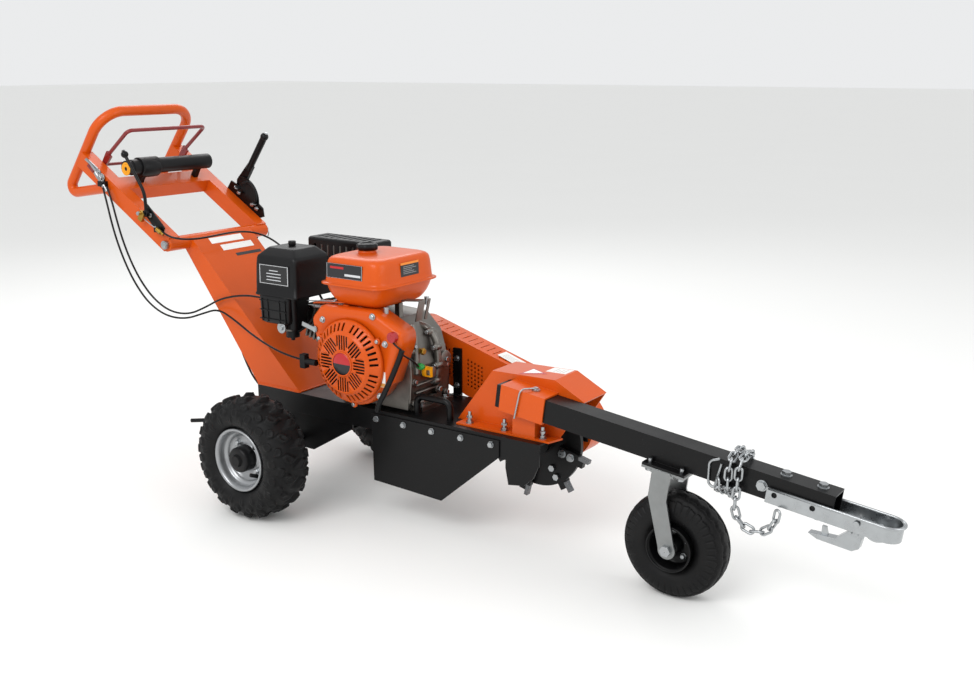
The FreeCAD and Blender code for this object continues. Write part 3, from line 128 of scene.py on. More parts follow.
def paleFloor():
    # one wide sheet of matt card, its tone drifting by a percent over a metre
    m = bpy.data.materials.new("floorCard")
    m.use_nodes = True
    t = m.node_tree
    where = addNode(t, "ShaderNodeTexCoord").outputs["Object"]
    drift = addNode(t, "ShaderNodeTexNoise", {"Vector": where, "Scale": 1.0, "Detail": 2.0})
    tone = addNode(t, "ShaderNodeMapRange", {"Value": drift.outputs["Fac"], "To Min": 0.985, "To Max": 1.0})
    colour = addNode(t, "ShaderNodeMix", {"Factor": 1.0, "A": linear(studio["floor"]),
                                          "B": tone.outputs["Result"]},
                     data_type="RGBA", blend_type="MULTIPLY")
    shader = t.nodes["Principled BSDF"]
    t.links.new(colour.outputs["Result"], shader.inputs["Base Color"])
    shader.inputs["Roughness"].default_value = 0.9
    h = studio["floorSize"]
    mesh = bpy.data.meshes.new("floor")
    mesh.from_pydata([(-h, -h, 0), (h, -h, 0), (h, h, 0), (-h, h, 0)], [], [(0, 1, 2, 3)])
    mesh.materials.append(m)
    floor = bpy.data.objects.new("floor", mesh)
    bpy.context.scene.collection.objects.link(floor)


paleFloor()

# --- shape helpers ---


def gridFaces(rows, columns, wrapRows=False, wrapColumns=False):
    # quads between neighbouring rows and columns of a grid of points
    r = np.arange(rows if wrapRows else rows - 1)
    c = np.arange(columns if wrapColumns else columns - 1)
    r, c = np.meshgrid(r, c, indexing="ij")
    r1, c1 = (r + 1) % rows, (c + 1) % columns
    return np.stack([r * columns + c, r * columns + c1, r1 * columns + c1, r1 * columns + c],
                    -1).reshape(-1, 4)


def newPiece(name, points, faces, material, body="chassis", slot=None, smooth=True, closed=True, uv=None):
    # a mesh in mm from the axle, put into the shared frame, with its faces turned outwards
    mesh = bpy.data.meshes.new(name)
    mesh.from_pydata(place(points), [], [tuple(int(i) for i in f) for f in faces])
    piece = bpy.data.objects.new(name, mesh)
    bpy.context.scene.collection.objects.link(piece)
    if closed:
        work = bmesh.new()
        work.from_mesh(mesh)
        bmesh.ops.remove_doubles(work, verts=work.verts, dist=1e-6)
        bmesh.ops.recalc_face_normals(work, faces=work.faces)
        work.to_mesh(mesh)
        work.free()
    mesh.polygons.foreach_set("use_smooth", [smooth] * len(mesh.polygons))
    mesh.materials.append(material)
    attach(piece, body)
    return piece


def pointsOf(mesh):
    # the mesh's points as one array of rows
    flat = np.empty(3 * len(mesh.vertices))
    mesh.vertices.foreach_get("co", flat)
    return flat.reshape(-1, 3)


def setUv(piece, uvs):
    # one (u, v) for each point, handed to every corner that meets there
    corners = np.empty(len(piece.data.loops), np.int32)
    piece.data.loops.foreach_get("vertex_index", corners)
    piece.data.uv_layers.new(name="UVMap").data.foreach_set("uv", uvs[corners].ravel())


def axisFrame(axis):
    # the axis at unit length, and two directions square to it and to each other
    axis = np.asarray(axis, float) / np.linalg.norm(axis)
    other = np.array([0, 0, 1.0]) if abs(axis[2]) < 0.9 else np.array([1.0, 0, 0])
    u = np.cross(axis, other)
    u /= np.linalg.norm(u)
    return axis, u, np.cross(axis, u)


def turned(name, profile, centre, axis, material, steps=64, **more):
    # (radius, along) pairs carried round an axis: point = centre + along * axis + radius * (cos, sin)
    profile = np.asarray(profile, float)
    axis, u, v = axisFrame(axis)
    a = np.linspace(0, 2 * np.pi, steps, endpoint=False)[:, None, None]
    radius, along = profile[None, :, 0:1], profile[None, :, 1:2]
    points = np.asarray(centre, float) + along * axis + radius * (np.cos(a) * u + np.sin(a) * v)
    n = len(profile)
    return newPiece(name, points.reshape(-1, 3), gridFaces(steps, n, wrapRows=True), material, **more)


def alongPath(points, profile, closedPath=False, spin=None):
    # a closed flat profile carried along a path with a frame that never twists
    points = np.asarray(points, float)
    d = np.gradient(points, axis=0)
    if closedPath:
        d = np.roll(points, -1, 0) - np.roll(points, 1, 0)
    d /= np.linalg.norm(d, axis=1)[:, None]
    side = np.cross(d[0], [0, 0, 1.0] if abs(d[0][2]) < 0.9 else [1.0, 0, 0])
    sides = []
    for t in d:
        side = side - t * side.dot(t)
        side /= np.linalg.norm(side)
        sides.append(side.copy())
    sides = np.array(sides)
    ups = np.cross(d, sides)
    profile = np.asarray(profile, float)
    return points[:, None] + profile[None, :, 0:1] * sides[:, None] + profile[None, :, 1:2] * ups[:, None]


def ring(radius, steps=12):
    # (cos, sin) times the radius, once round
    a = np.linspace(0, 2 * np.pi, steps, endpoint=False)
    return np.stack([radius * np.cos(a), radius * np.sin(a)], 1)


def roundedPath(points, each=8):
    # Catmull-Rom curve through the points
    p = np.asarray(points, float)
    p = np.vstack([2 * p[0] - p[1], p, 2 * p[-1] - p[-2]])
    t = np.linspace(0, 1, each, endpoint=False)[:, None]
    out = []
    for i in range(1, len(p) - 2):
        a, b, c, d = p[i - 1], p[i], p[i + 1], p[i + 2]
        out.append(0.5 * (2 * b + (c - a) * t + (2 * a - 5 * b + 4 * c - d) * t ** 2
                          + (3 * b - a - 3 * c + d) * t ** 3))
    return np.vstack(out + [p[-2:-1]])


def capped(rows, columns):
    # faces of a tube with both ends closed
    faces = [list(f) for f in gridFaces(rows, columns, wrapColumns=True)]
    return faces + [list(range(columns)), [(rows - 1) * columns + k for k in range(columns)]]


def loft(points, radius, steps=12):
    # points and faces of a circle carried along a curve through the points, with closed ends
    path = roundedPath(points)
    return alongPath(path, ring(radius, steps)).reshape(-1, 3), capped(len(path), steps)


def tube(name, points, radius, material, **more):
    return newPiece(name, *loft(points, radius), material, **more)


def softBlock(name, sections, exponent, material, steps=96, **more):
    # superellipse outlines stacked in z: |x/a|^n + |y/b|^n = 1, each section (z, x, y, a, b), closed ends
    a = np.linspace(0, 2 * np.pi, steps, endpoint=False)
    c, s = np.cos(a), np.sin(a)
    c, s = np.sign(c) * np.abs(c) ** (2 / exponent), np.sign(s) * np.abs(s) ** (2 / exponent)
    rows = [np.stack([x0 + ax * c, y0 + by * s, np.full(steps, z)], 1) for z, x0, y0, ax, by in sections]
    points = np.vstack(rows)
    return newPiece(name, points, capped(len(rows), steps), material, **more)


def hexHead(centre, axis, across, high):
    # points and faces of one hexagon head with a chamfered top
    axis, u, v = axisFrame(axis)
    a = np.radians(60 * np.arange(6) + 15)[:, None]
    r = across / math.sqrt(3)
    rows = [np.asarray(centre, float) + h * axis + r * k * (np.cos(a) * u + np.sin(a) * v)
            for k, h in ((1, 0), (1, high * 0.8), (0.82, high))]
    return np.vstack(rows), capped(3, 6)


def merged(parts):
    # several (points, faces) pairs as one pair
    points, faces, base = [], [], 0
    for p, f in parts:
        points.append(np.asarray(p, float))
        faces += [[i + base for i in face] for face in f]
        base += len(p)
    return np.vstack(points), faces


def joined(name, parts, material, **more):
    return newPiece(name, *merged(parts), material, **more)


def disc(centre, axis, r, high, steps=24, roundOver=0.8):
    # points and faces of a short round bar whose far edge is rounded over
    axis, u, v = axisFrame(axis)
    a = np.linspace(0, 2 * np.pi, steps, endpoint=False)[:, None]
    rows = [np.asarray(centre) + h * axis + q * (np.cos(a) * u + np.sin(a) * v)
            for q, h in ((r, 0), (r, high - roundOver), (r - roundOver * 0.3, high - roundOver * 0.3),
                         (r - roundOver, high))]
    return np.vstack(rows), capped(4, steps)


# --- materials ---

def surface(name, slotName, base, roughness, metallic=0.0, coat=0.0, coatRough=0.08, ior=1.5,
            grain=(0.8, 0.15), blotch=(60.0, 0.06), softEdge=1.2, wear=None, rust=None):
    # grain: (size mm, bump strength); blotch: (size mm, how much the colour varies); softEdge: edge radius mm
    # wear: (hex of what shows on worn edges, share); rust or dust: (hex, share, size mm)
    m = bpy.data.materials.new(name)
    m.use_nodes = True
    m["slot"] = slotName
    t = m.node_tree
    shader = t.nodes["Principled BSDF"]
    where = addNode(t, "ShaderNodeTexCoord").outputs["Object"]
    patch = addNode(t, "ShaderNodeTexNoise", {"Vector": where, "Scale": 1000 / blotch[0], "Detail": 4.0})
    tone = addNode(t, "ShaderNodeMapRange", {"Value": patch.outputs["Fac"], "From Min": 0.3, "From Max": 0.7,
                                             "To Min": 1 - blotch[1], "To Max": 1 + blotch[1]})
    colour = addNode(t, "ShaderNodeMix", {"Factor": 1.0, "A": linear(base), "B": tone.outputs["Result"]},
                     data_type="RGBA", blend_type="MULTIPLY")
    colourOut = colour.outputs["Result"]
    rounded = addNode(t, "ShaderNodeBevel", {"Radius": softEdge / 1000}, samples=4)
    if wear:
        flat = addNode(t, "ShaderNodeNewGeometry").outputs["Normal"]
        edge = addNode(t, "ShaderNodeVectorMath", {0: rounded.outputs["Normal"], 1: flat},
                       operation="DOT_PRODUCT")
        chips = addNode(t, "ShaderNodeTexNoise", {"Vector": where, "Scale": 220.0, "Detail": 3.0})
        bare = addNode(t, "ShaderNodeMath", {0: edge.outputs["Value"], 1: chips.outputs["Fac"]},
                       operation="ADD")
        mask = addNode(t, "ShaderNodeMapRange", {"Value": bare.outputs["Value"], "From Min": 1.22,
                                                 "From Max": 1.34, "To Min": wear[1], "To Max": 0.0})
        colourOut = addNode(t, "ShaderNodeMix", {"Factor": mask.outputs["Result"], "A": colourOut,
                                                 "B": linear(wear[0])},
                            data_type="RGBA").outputs["Result"]
    if rust:
        stain = addNode(t, "ShaderNodeTexNoise", {"Vector": where, "Scale": 1000 / rust[2], "Detail": 6.0})
        cover = addNode(t, "ShaderNodeMapRange", {"Value": stain.outputs["Fac"], "From Min": 0.48,
                                                  "From Max": 0.72, "To Min": 0.0, "To Max": rust[1]})
        colourOut = addNode(t, "ShaderNodeMix", {"Factor": cover.outputs["Result"], "A": colourOut,
                                                 "B": linear(rust[0])}, data_type="RGBA").outputs["Result"]
    t.links.new(colourOut, shader.inputs["Base Color"])
    fine = addNode(t, "ShaderNodeTexNoise", {"Vector": where, "Scale": 1000 / grain[0], "Detail": 3.0})
    gloss = addNode(t, "ShaderNodeMapRange", {"Value": patch.outputs["Fac"], "From Min": 0.3, "From Max": 0.7,
                                              "To Min": roughness * 0.82, "To Max": roughness * 1.18})
    t.links.new(gloss.outputs["Result"], shader.inputs["Roughness"])
    bump = addNode(t, "ShaderNodeBump", {"Height": fine.outputs["Fac"], "Strength": grain[1],
                                         "Distance": grain[0] / 4000, "Normal": rounded.outputs["Normal"]})
    t.links.new(bump.outputs["Normal"], shader.inputs["Normal"])
    shader.inputs["Metallic"].default_value = metallic
    shader.inputs["IOR"].default_value = ior
    shader.inputs["Coat Weight"].default_value = coat
    shader.inputs["Coat Roughness"].default_value = coatRough
    return m


# gloss enamel sprayed on sheet and tube: a faint orange-peel of 2 mm under a clear shine
orangeEnamel = surface("orangeEnamel", "orange_paint", "CC5008", 0.36, coat=0.16, coatRough=0.05, ior=1.3,
                       grain=(2.2, 0.10), blotch=(140, 0.04), wear=("E88A58", 0.3))
# satin powder coat: fine pebble under 1 mm, drawn at 0.9 mm so that it shows
blackPowder = surface("blackPowder", "black_paint", "080809", 0.38, coat=0.04, coatRough=0.2, ior=1.3,
                      grain=(0.9, 0.22), blotch=(90, 0.15), wear=("2C2C2E", 0.4))
redEnamel = surface("redEnamel", "red_paint", "7A0E10", 0.36, coat=0.4, grain=(1.6, 0.1), blotch=(60, 0.06))
# bright zinc plate: cloudy passivation in patches of 25 mm
zincPlate = surface("zincPlate", "zinc", "A9ACAE", 0.30, metallic=1.0, grain=(0.6, 0.12), blotch=(25, 0.08),
                    softEdge=0.7)
forkZinc = surface("forkZinc", "zinc", "8E9090", 0.42, metallic=1.0, grain=(1.0, 0.15), blotch=(40, 0.1),
                   softEdge=1.0)
# sand-cast aluminium: grains of about 1 mm standing up
castAluminium = surface("castAluminium", "cast_aluminium", "7B7873", 0.40, metallic=0.95, grain=(1.1, 0.55),
                        blotch=(30, 0.14), softEdge=1.6, rust=("5B5650", 0.35, 45))
machinedSteel = surface("machinedSteel", "steel", "7E7C79", 0.38, metallic=1.0, grain=(0.5, 0.2),
                        blotch=(20, 0.15), rust=("54392A", 0.35, 30))
carbideTip = surface("carbideTip", "carbide", "6B6C6E", 0.28, metallic=1.0, grain=(0.4, 0.2),
                     blotch=(8, 0.15))
castIron = surface("castIron", "cast_iron", "3A3A3B", 0.6, metallic=0.6, grain=(1.2, 0.5),
                   blotch=(25, 0.12), softEdge=1.5)
# injection-moulded plastic with a spark-eroded texture
blackMoulding = surface("blackMoulding", "black_plastic", "08080A", 0.40, ior=1.34, grain=(0.8, 0.3),
                        blotch=(70, 0.1), softEdge=1.5)
yellowMoulding = surface("yellowMoulding", "yellow_plastic", "EDA008", 0.32, grain=(1.0, 0.08),
                         blotch=(30, 0.04))
redMoulding = surface("redMoulding", "red_plastic", "A3121A", 0.28, coat=0.2, grain=(1.0, 0.08),
                      blotch=(20, 0.05))
tyreRubber = surface("tyreRubber", "tyre", "070708", 0.55, ior=1.32, grain=(1.4, 0.35), blotch=(50, 0.16),
                     softEdge=1.0, rust=("1C1B1A", 0.22, 60))
cableJacket = surface("cableJacket", "black_rubber", "070708", 0.34, ior=1.36, grain=(0.7, 0.1),
                      blotch=(40, 0.08), softEdge=0.4)
smoothRubber = surface("smoothRubber", "black_rubber", "0A0A0B", 0.48, ior=1.34, grain=(0.8, 0.2),
                       blotch=(40, 0.1))
wheelSilver = surface("wheelSilver", "silver_paint", "9EA0A2", 0.33, metallic=0.75, coat=0.2,
                      grain=(1.2, 0.12), blotch=(60, 0.05))
brassPlate = surface("brassPlate", "zinc", "B08D3E", 0.34, metallic=1.0, grain=(0.8, 0.15), blotch=(20, 0.12))
greenMoulding = surface("greenMoulding", "black_plastic", "1E8F3C", 0.4, grain=(1.0, 0.1), blotch=(20, 0.05))

finishes = {
    orangeEnamel: "mast handle_rails handle_loop fan_cowl recoil_cover belt_guard_back belt_guard_cover "
                  "fuel_tank cutter_hood",
    blackPowder: "deck_frame side_skirt control_brackets throttle_lever brake_lever guard_strap "
                 "muffler_guard tow_bar front_rim rear_axle parking_pedal cutter_disc tooth_holders",
    redEnamel: "bail",
    zincPlate: "pivot_bolt choke_lever tooth_bolts frame_bolts tow_bar_bolts coupler coupler_latch hitch_pin "
               "front_axle safety_chain snap_hook",
    forkZinc: "front_fork",
    castAluminium: "crankcase_cover flywheel engine_block",
    machinedSteel: "crankshaft muffler cutter_shaft",
    carbideTip: "cutter_teeth",
    castIron: "drive_pulley driven_pulley pillow_bearings",
    blackMoulding: "tool_tube fuel_cap air_filter_cover carburettor",
    yellowMoulding: "oil_cap",
    redMoulding: "engine_switch",
    tyreRubber: "front_tyre left_tyre right_tyre",
    smoothRubber: "drive_belt starter_grip control_cables",
    wheelSilver: "left_rim right_rim",
}
for material, names in finishes.items():
    for name in names.split():
        mesh = nodes[name].data
        mesh.materials.clear()
        mesh.materials.append(material)
print("materials on", sum(len(n.split()) for n in finishes.values()), "CAD nodes")

# --- control cables ---

cables = {
    "diameter": 6.0,
    "bailCable": [(-688, -209, 881), (-664, -213, 838), (-646, -215, 784), (-626, -214, 722),
                  (-602, -208, 656), (-574, -197, 594), (-535, -184, 541), (-480, -170, 506),
                  (-412, -156, 503), (-352, -142, 530), (-296, -135, 560), (-230, -135, 578),
                  (-162, -138, 588), (-104, -130, 584), (-63.5, -108, 580)],
    "stopCable": [(-694, -219, 878), (-676, -222, 830), (-660, -224, 776), (-640, -223, 714),
                  (-615, -218, 648), (-588, -207, 585), (-548, -194, 528), (-488, -180, 493),
                  (-415, -166, 490), (-350, -150, 514), (-292, -145, 533), (-226, -143, 507),
                  (-160, -146, 476), (-92, -149, 452), (-28, -151, 436), (46, -151, 427), (127.5, -149, 424)],
    "throttleCable": [(-452, -210, 765), (-418, -212, 750), (-384, -196, 742), (-364, -156, 739),
                      (-360, -100, 740), (-364, -36, 742), (-370, 32, 740), (-362, 92, 730),
                      (-330, 128, 708), (-282, 140, 674), (-232, 126, 636), (-186, 92, 604),
                      (-142, 48, 580), (-104, -16, 568), (-62.5, -84, 562)],
    "brakeCable": [(-476.9, 214, 763), (-469, 215, 724), (-471, 196, 680), (-466, 144, 654),
                   (-446, 84, 620), (-404, 28, 576), (-352, -24, 520), (-298, -70, 456), (-246, -104, 404),
                   (-212, -114, 364), (-190, -112, 326), (-165.5, -106, 300)],
}
cableLengths = {"bailCable": 0.883, "stopCable": 1.097, "throttleCable": 0.828, "brakeCable": 0.699}


def splineOf(points):
    # NURBS curve whose control points are the route's points
    curve = bpy.data.curves.new("route", "CURVE")
    curve.dimensions = "3D"
    curve.resolution_u = 10
    spline = curve.splines.new("NURBS")
    spline.points.add(len(points) - 1)
    for p, q in zip(spline.points, points):
        p.co = (*at(*q), 1)
    spline.order_u = 3
    spline.use_endpoint_u = True
    return curve


def centreline(curve):
    # the curve's own points in metres, as Blender steps along it
    holder = bpy.data.objects.new("route", curve)
    mesh = bpy.data.meshes.new_from_object(holder)
    line = pointsOf(mesh)
    bpy.data.objects.remove(holder)
    bpy.data.meshes.remove(mesh)
    return line


for name in cableLengths:
    line = centreline(splineOf(cables[name]))
    mm = (line - np.array([axleX, 0, 0])) * 1000
    grid = alongPath(mm, ring(cables["diameter"] / 2, 12))
    jacket = newPiece(name, grid.reshape(-1, 3), capped(len(mm), 12), cableJacket)
    jacket.parent = None
    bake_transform(jacket)
    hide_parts("control_cables")
print("cables laid")

# --- tyres ---

rearTyre = {"centreZ": 176.5, "side": 310.0, "outer": 176.5, "wide": 70.0, "lug": 10.0, "bead": 86.0,
            "pitches": 18}
frontTyre = {"x": 1205.0, "y": -90.0, "outer": 131.0, "wide": 42.5, "bead": 57.0, "groove": 4.6}


def ease(low, high, x):
    # t * t * (3 - 2t), with t going from 0 at low to 1 at high
    t = np.clip((x - low) / (high - low), 0, 1)
    return t * t * (3 - 2 * t)


def carcass(phi, outer, wide, bead):
    # half-round section: a squarish crown above the widest line, drawn in to the bead below it
    middle = bead + (outer - bead) * 0.44
    s, c = np.sin(phi), np.cos(phi)
    up = np.abs(s) ** 0.8 * (outer - middle)
    down = -(middle - bead) * np.clip(-s / math.sin(math.radians(50)), 0, 1)
    y = -np.sign(c) * np.abs(c) ** 0.62 * wide
    y = np.where(s < 0, y * (1 - 0.18 * np.clip(-s / 0.766, 0, 1) ** 2), y)
    return np.where(s >= 0, up, down) + middle, y


def lug(u, v, cu, cv, hu, hv, turn, pitch):
    # one rounded block with a shallow pit in its top, repeated every pitch round the tyre
    du = (u - cu + pitch / 2) % pitch - pitch / 2
    dv = v - cv
    a, b = du * math.cos(turn) + dv * math.sin(turn), -du * math.sin(turn) + dv * math.cos(turn)
    d = (np.abs(a / hu) ** 3.2 + np.abs(b / hv) ** 3.2) ** (1 / 3.2)
    return ease(1.16, 0.9, d) - 0.30 * ease(0.62, 0.40, d)


def tyre(name, node, x, y, z, size, height, body, around, across):
    # the carcass section turned round the axle, with height(u, v) added along its outward direction
    a = np.linspace(0, 2 * np.pi, around, endpoint=False)[:, None]
    phi = np.radians(np.linspace(-50, 230, across))[None, :]
    r, w = carcass(phi, size["outer"] - height.depth, size["wide"] - height.depth * 0.35, size["bead"])
    v = (np.degrees(phi) - 90) / 90 * (size["wide"] * 1.12)
    lift = height(a * size["outer"], v)
    nr, nw = np.sin(phi), -np.cos(phi)
    r = r + lift * np.clip(nr, 0.25, 1)
    w = w + lift * nw * 0.35
    a = a + 0 * r
    points = np.stack([x + r * np.cos(a), y + w + 0 * a, z + r * np.sin(a)], -1)
    # the bead is closed inside by the last row meeting the first
    piece = newPiece(name, points.reshape(-1, 3), gridFaces(around, across, True, True), tyreRubber,
                     body=body)
    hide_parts(node)
    return piece


def knobs(u, v):
    # four staggered rows of blocks on each half of the tread, and thin ribs on the shoulder
    p = 2 * math.pi * rearTyre["outer"] / rearTyre["pitches"]
    h = np.zeros(np.broadcast(u, v).shape)
    for sign, shift in ((1, 0.0), (-1, p / 2)):
        for cu, cv, hu, hv, turn, tall in ((0.0, 13, 15, 9.5, 0.5, 1.0), (p * 0.42, 37, 13, 10, -0.35, 1.0),
                                           (p * 0.86, 62, 14, 11, 0.15, 0.95),
                                           (p * 0.36, 84, 9, 12, 0.0, 0.7)):
            h = np.maximum(h, tall * lug(u, v, cu + shift, sign * cv, hu, hv, turn * sign, p))
    ribs = 0.10 * ease(0.75, 0.95, np.cos((np.abs(v) - 104) / 5.5)) * ease(92, 98, np.abs(v))
    return rearTyre["lug"] * (np.maximum(h, 0) + ribs)


knobs.depth = rearTyre["lug"]


def ribs(u, v):
    # tread between two wavy grooves a side, sipes across its shoulder and fine rings on the wall
    w = frontTyre["wide"]
    line = np.abs(v)
    groove = np.zeros(np.broadcast(u, v).shape)
    for cv in (0.16 * w, 0.52 * w):
        groove = np.maximum(groove, ease(3.2, 1.8, np.abs(line - cv - 1.6 * np.sin(u / 5.2))))
    cut = ease(0.62, 0.86, np.sin(u / 3.3 + np.sign(v) * 0.9)) * ease(0.5 * w, 0.58 * w, line)
    groove = np.maximum(groove, cut * ease(1.12 * w, 0.95 * w, line))
    walls = 0.3 * ease(0.8, 0.96, np.cos((line - 0.2 * w) / 1.9)) * ease(1.02 * w, 1.08 * w, line)
    tread = ease(1.14 * w, 0.98 * w, line)
    return frontTyre["groove"] * (tread * (1 - groove) + walls)


ribs.depth = frontTyre["groove"]
for side, name in ((-1, "left"), (1, "right")):
    tyre(name + "TyreKnobs", name + "_tyre", 0, side * rearTyre["side"], rearTyre["centreZ"], rearTyre, knobs,
         name + "_wheel", 576, 84)
tyre("noseTyreTread", "front_tyre", frontTyre["x"], frontTyre["y"], frontTyre["outer"], frontTyre, ribs,
     "front_wheel", 480, 72)


wheel = {"side": 310.0, "centreZ": 176.5, "half": 58.0, "flange": 90.5, "barrel": 79.0, "well": 68.0,
         "dish": 20.0, "studCircle": 50.0, "capR": 37.0, "capOut": 60.0}


def pressedRim(name, node, side):
    # rolled steel rim turned about the axle: (radius, distance out from the wheel's middle) round its section
    w = wheel
    f, b, o = w["flange"], w["barrel"], w["half"]
    section = [(f - 4, o + 1.5), (f - 8, o - 3), (b + 1, o - 9), (b, o - 13), (b - 1, o - 22),
               (b - 5, o - 25), (b - 9, o - 27), (w["well"], o - 31), (w["well"] - 2, w["dish"] + 4),
               (w["well"] - 8, w["dish"] - 1), (42, w["dish"] - 3), (37, w["dish"]), (33, w["dish"] + 4),
               (12, w["dish"] + 5), (12, w["dish"] - 2), (40, w["dish"] - 9),
               (w["well"] + 3, w["dish"] - 6), (w["well"] + 3, 34 - o), (b + 2, 26 - o), (b + 3, 6 - o),
               (f - 2, 5 - o), (f, 1 - o), (f - 4, -1.5 - o), (f - 9, 2 - o), (b + 7, 9 - o), (b + 8, 0),
               (b + 8, o - 12), (f - 5, o - 6), (f - 2, o - 5), (f + 0.5, o - 3), (f, o)]
    y, z = side * w["side"], w["centreZ"]
    piece = turned(name + "RimPressed", [(r, side * h) for r, h in section + section[:1]], (0, y, z),
                   (0, 1, 0), wheelSilver, steps=96, body=name + "_wheel")
    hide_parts(node)
    nuts = []
    for k in range(4):
        q = math.radians(45 + 90 * k)
        c = np.array([w["studCircle"] * math.cos(q), y + side * (w["dish"] - 3),
                      z + w["studCircle"] * math.sin(q)])
        nuts += [disc(c, (0, side, 0), 9, 2), hexHead(c + np.array([0, side * 2, 0]), (0, side, 0), 14, 9)]
    joined(name + "WheelNuts", nuts, zincPlate, body=name + "_wheel", smooth=False)
    q = math.radians(-50)
    base = np.array([63 * math.cos(q), y + side * 24, z + 63 * math.sin(q)])
    joined(name + "Valve", [disc(base, (-math.cos(q) * 0.5, side, -math.sin(q) * 0.5), 5.5, 24)],
           smoothRubber, body=name + "_wheel")
    r, h = w["capR"], w["capOut"]
    turned(name + "HubCap", [(0, side * h), (r - 9, side * h), (r - 4, side * (h - 1.5)),
                             (r - 1, side * (h - 6)), (r, side * (w["dish"] + 2)),
                             (0, side * (w["dish"] + 2))],
           (0, y, z), (0, 1, 0), blackMoulding, steps=64, body=name + "_wheel")


for side, name in ((-1, "left"), (1, "right")):
    pressedRim(name, name + "_rim", side)
print("tyres moulded")

# --- engine covers ---

engine = {"crankX": 250.0, "crankZ": 456.0, "cowlFace": -165.0, "cowlBack": -98.3, "cowlR": 126.0,
          "recoilR": 117.0, "recoilDeep": 38.0, "faceR": 84.0}


def outlineRadius(corners, angles, circle):
    # how far a ray from the crank goes before it leaves the circle or the polygon, whichever is further
    best = np.full(angles.shape, circle)
    for (x0, z0), (x1, z1) in zip(corners, corners[1:] + corners[:1]):
        dx, dz = x1 - x0, z1 - z0
        c, s = np.cos(angles), np.sin(angles)
        det = -c * dz + s * dx
        with np.errstate(divide="ignore", invalid="ignore"):
            dist = (-x0 * dz + z0 * dx) / det
            share = (c * z0 - s * x0) / det
        hit = (np.abs(det) > 1e-9) & (share >= 0) & (share <= 1) & (dist > 0)
        best = np.where(hit & (dist > best), dist, best)
    return best


def cutOut(piece, cutters):
    # takes the cutters' shapes away from the piece
    points, faces = merged(cutters)
    mesh = bpy.data.meshes.new("cutter")
    mesh.from_pydata(place(points), [], faces)
    tool = bpy.data.objects.new("cutter", mesh)
    bpy.context.scene.collection.objects.link(tool)
    work = bmesh.new()
    work.from_mesh(mesh)
    bmesh.ops.recalc_face_normals(work, faces=work.faces)
    work.to_mesh(mesh)
    work.free()
    boolean = piece.modifiers.new("cut", "BOOLEAN")
    boolean.object = tool
    boolean.solver = "EXACT"
    applied = bpy.data.meshes.new_from_object(piece.evaluated_get(bpy.context.evaluated_depsgraph_get()))
    piece.modifiers.clear()
    piece.data = applied
    bpy.data.objects.remove(tool)


def slab(centre, along, across, depth, size):
    # points and faces of a plain block of size (along, across, depth), turned to those directions
    along, across, depth = (np.asarray(v, float) / np.linalg.norm(v) for v in (along, across, depth))
    a, b, c = (s / 2 for s in size)
    corners = [np.asarray(centre) + i * a * along + j * b * across + k * c * depth
               for k in (-1, 1) for i, j in ((-1, -1), (1, -1), (1, 1), (-1, 1))]
    return np.array(corners), [[0, 1, 2, 3], [4, 7, 6, 5], [0, 4, 5, 1], [1, 5, 6, 2], [2, 6, 7, 3],
                               [3, 7, 4, 0]]


def block(centre, size):
    return slab(centre, (1, 0, 0), (0, 1, 0), (0, 0, 1), size)


def shellRings(rings, material, name, **more):
    # rings of equal length joined into one closed wall
    rows, columns = len(rings), len(rings[0])
    return newPiece(name, np.vstack(rings), gridFaces(rows, columns, wrapRows=True, wrapColumns=True),
                    material, **more)


def fanCowl():
    # the outline's radius round the crank, softened, then stepped through a quarter round at its front edge
    e = engine
    a = np.linspace(0, 2 * np.pi, 288, endpoint=False)
    corners = [(-120, 4), (-146, 104), (-110, 144), (70, 148), (174, 100), (176, 68), (124, -56), (0, -56)]
    r = outlineRadius(corners, a, e["cowlR"])
    for _ in range(5):
        r = (np.roll(r, 1) + 2 * r + np.roll(r, -1)) / 4
    edge, wall = 15.0, 3

    def loopAt(radius, y):
        return np.stack([e["crankX"] + radius * np.cos(a), np.full_like(a, y),
                         e["crankZ"] + radius * np.sin(a)], 1)

    t = np.radians(np.linspace(0, 90, 7))
    mouth, front = e["recoilR"] - 12, e["cowlFace"]
    rings = [loopAt(r, e["cowlBack"])]
    rings += [loopAt(r - edge * (1 - math.cos(q)), front + edge * (1 - math.sin(q))) for q in t]
    rings += [loopAt(mouth, front), loopAt(mouth, front + wall)]
    rings += [loopAt(r - edge, front + wall), loopAt(r - wall, front + edge), loopAt(r - wall, e["cowlBack"])]
    piece = shellRings(rings, orangeEnamel, "fanCowlPressed")
    below = block((250, -130, 310), (300, 90, 36))
    hole = block((404, -165, 545), (15, 20, 15))
    cutOut(piece, [below, hole])
    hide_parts("fan_cowl")


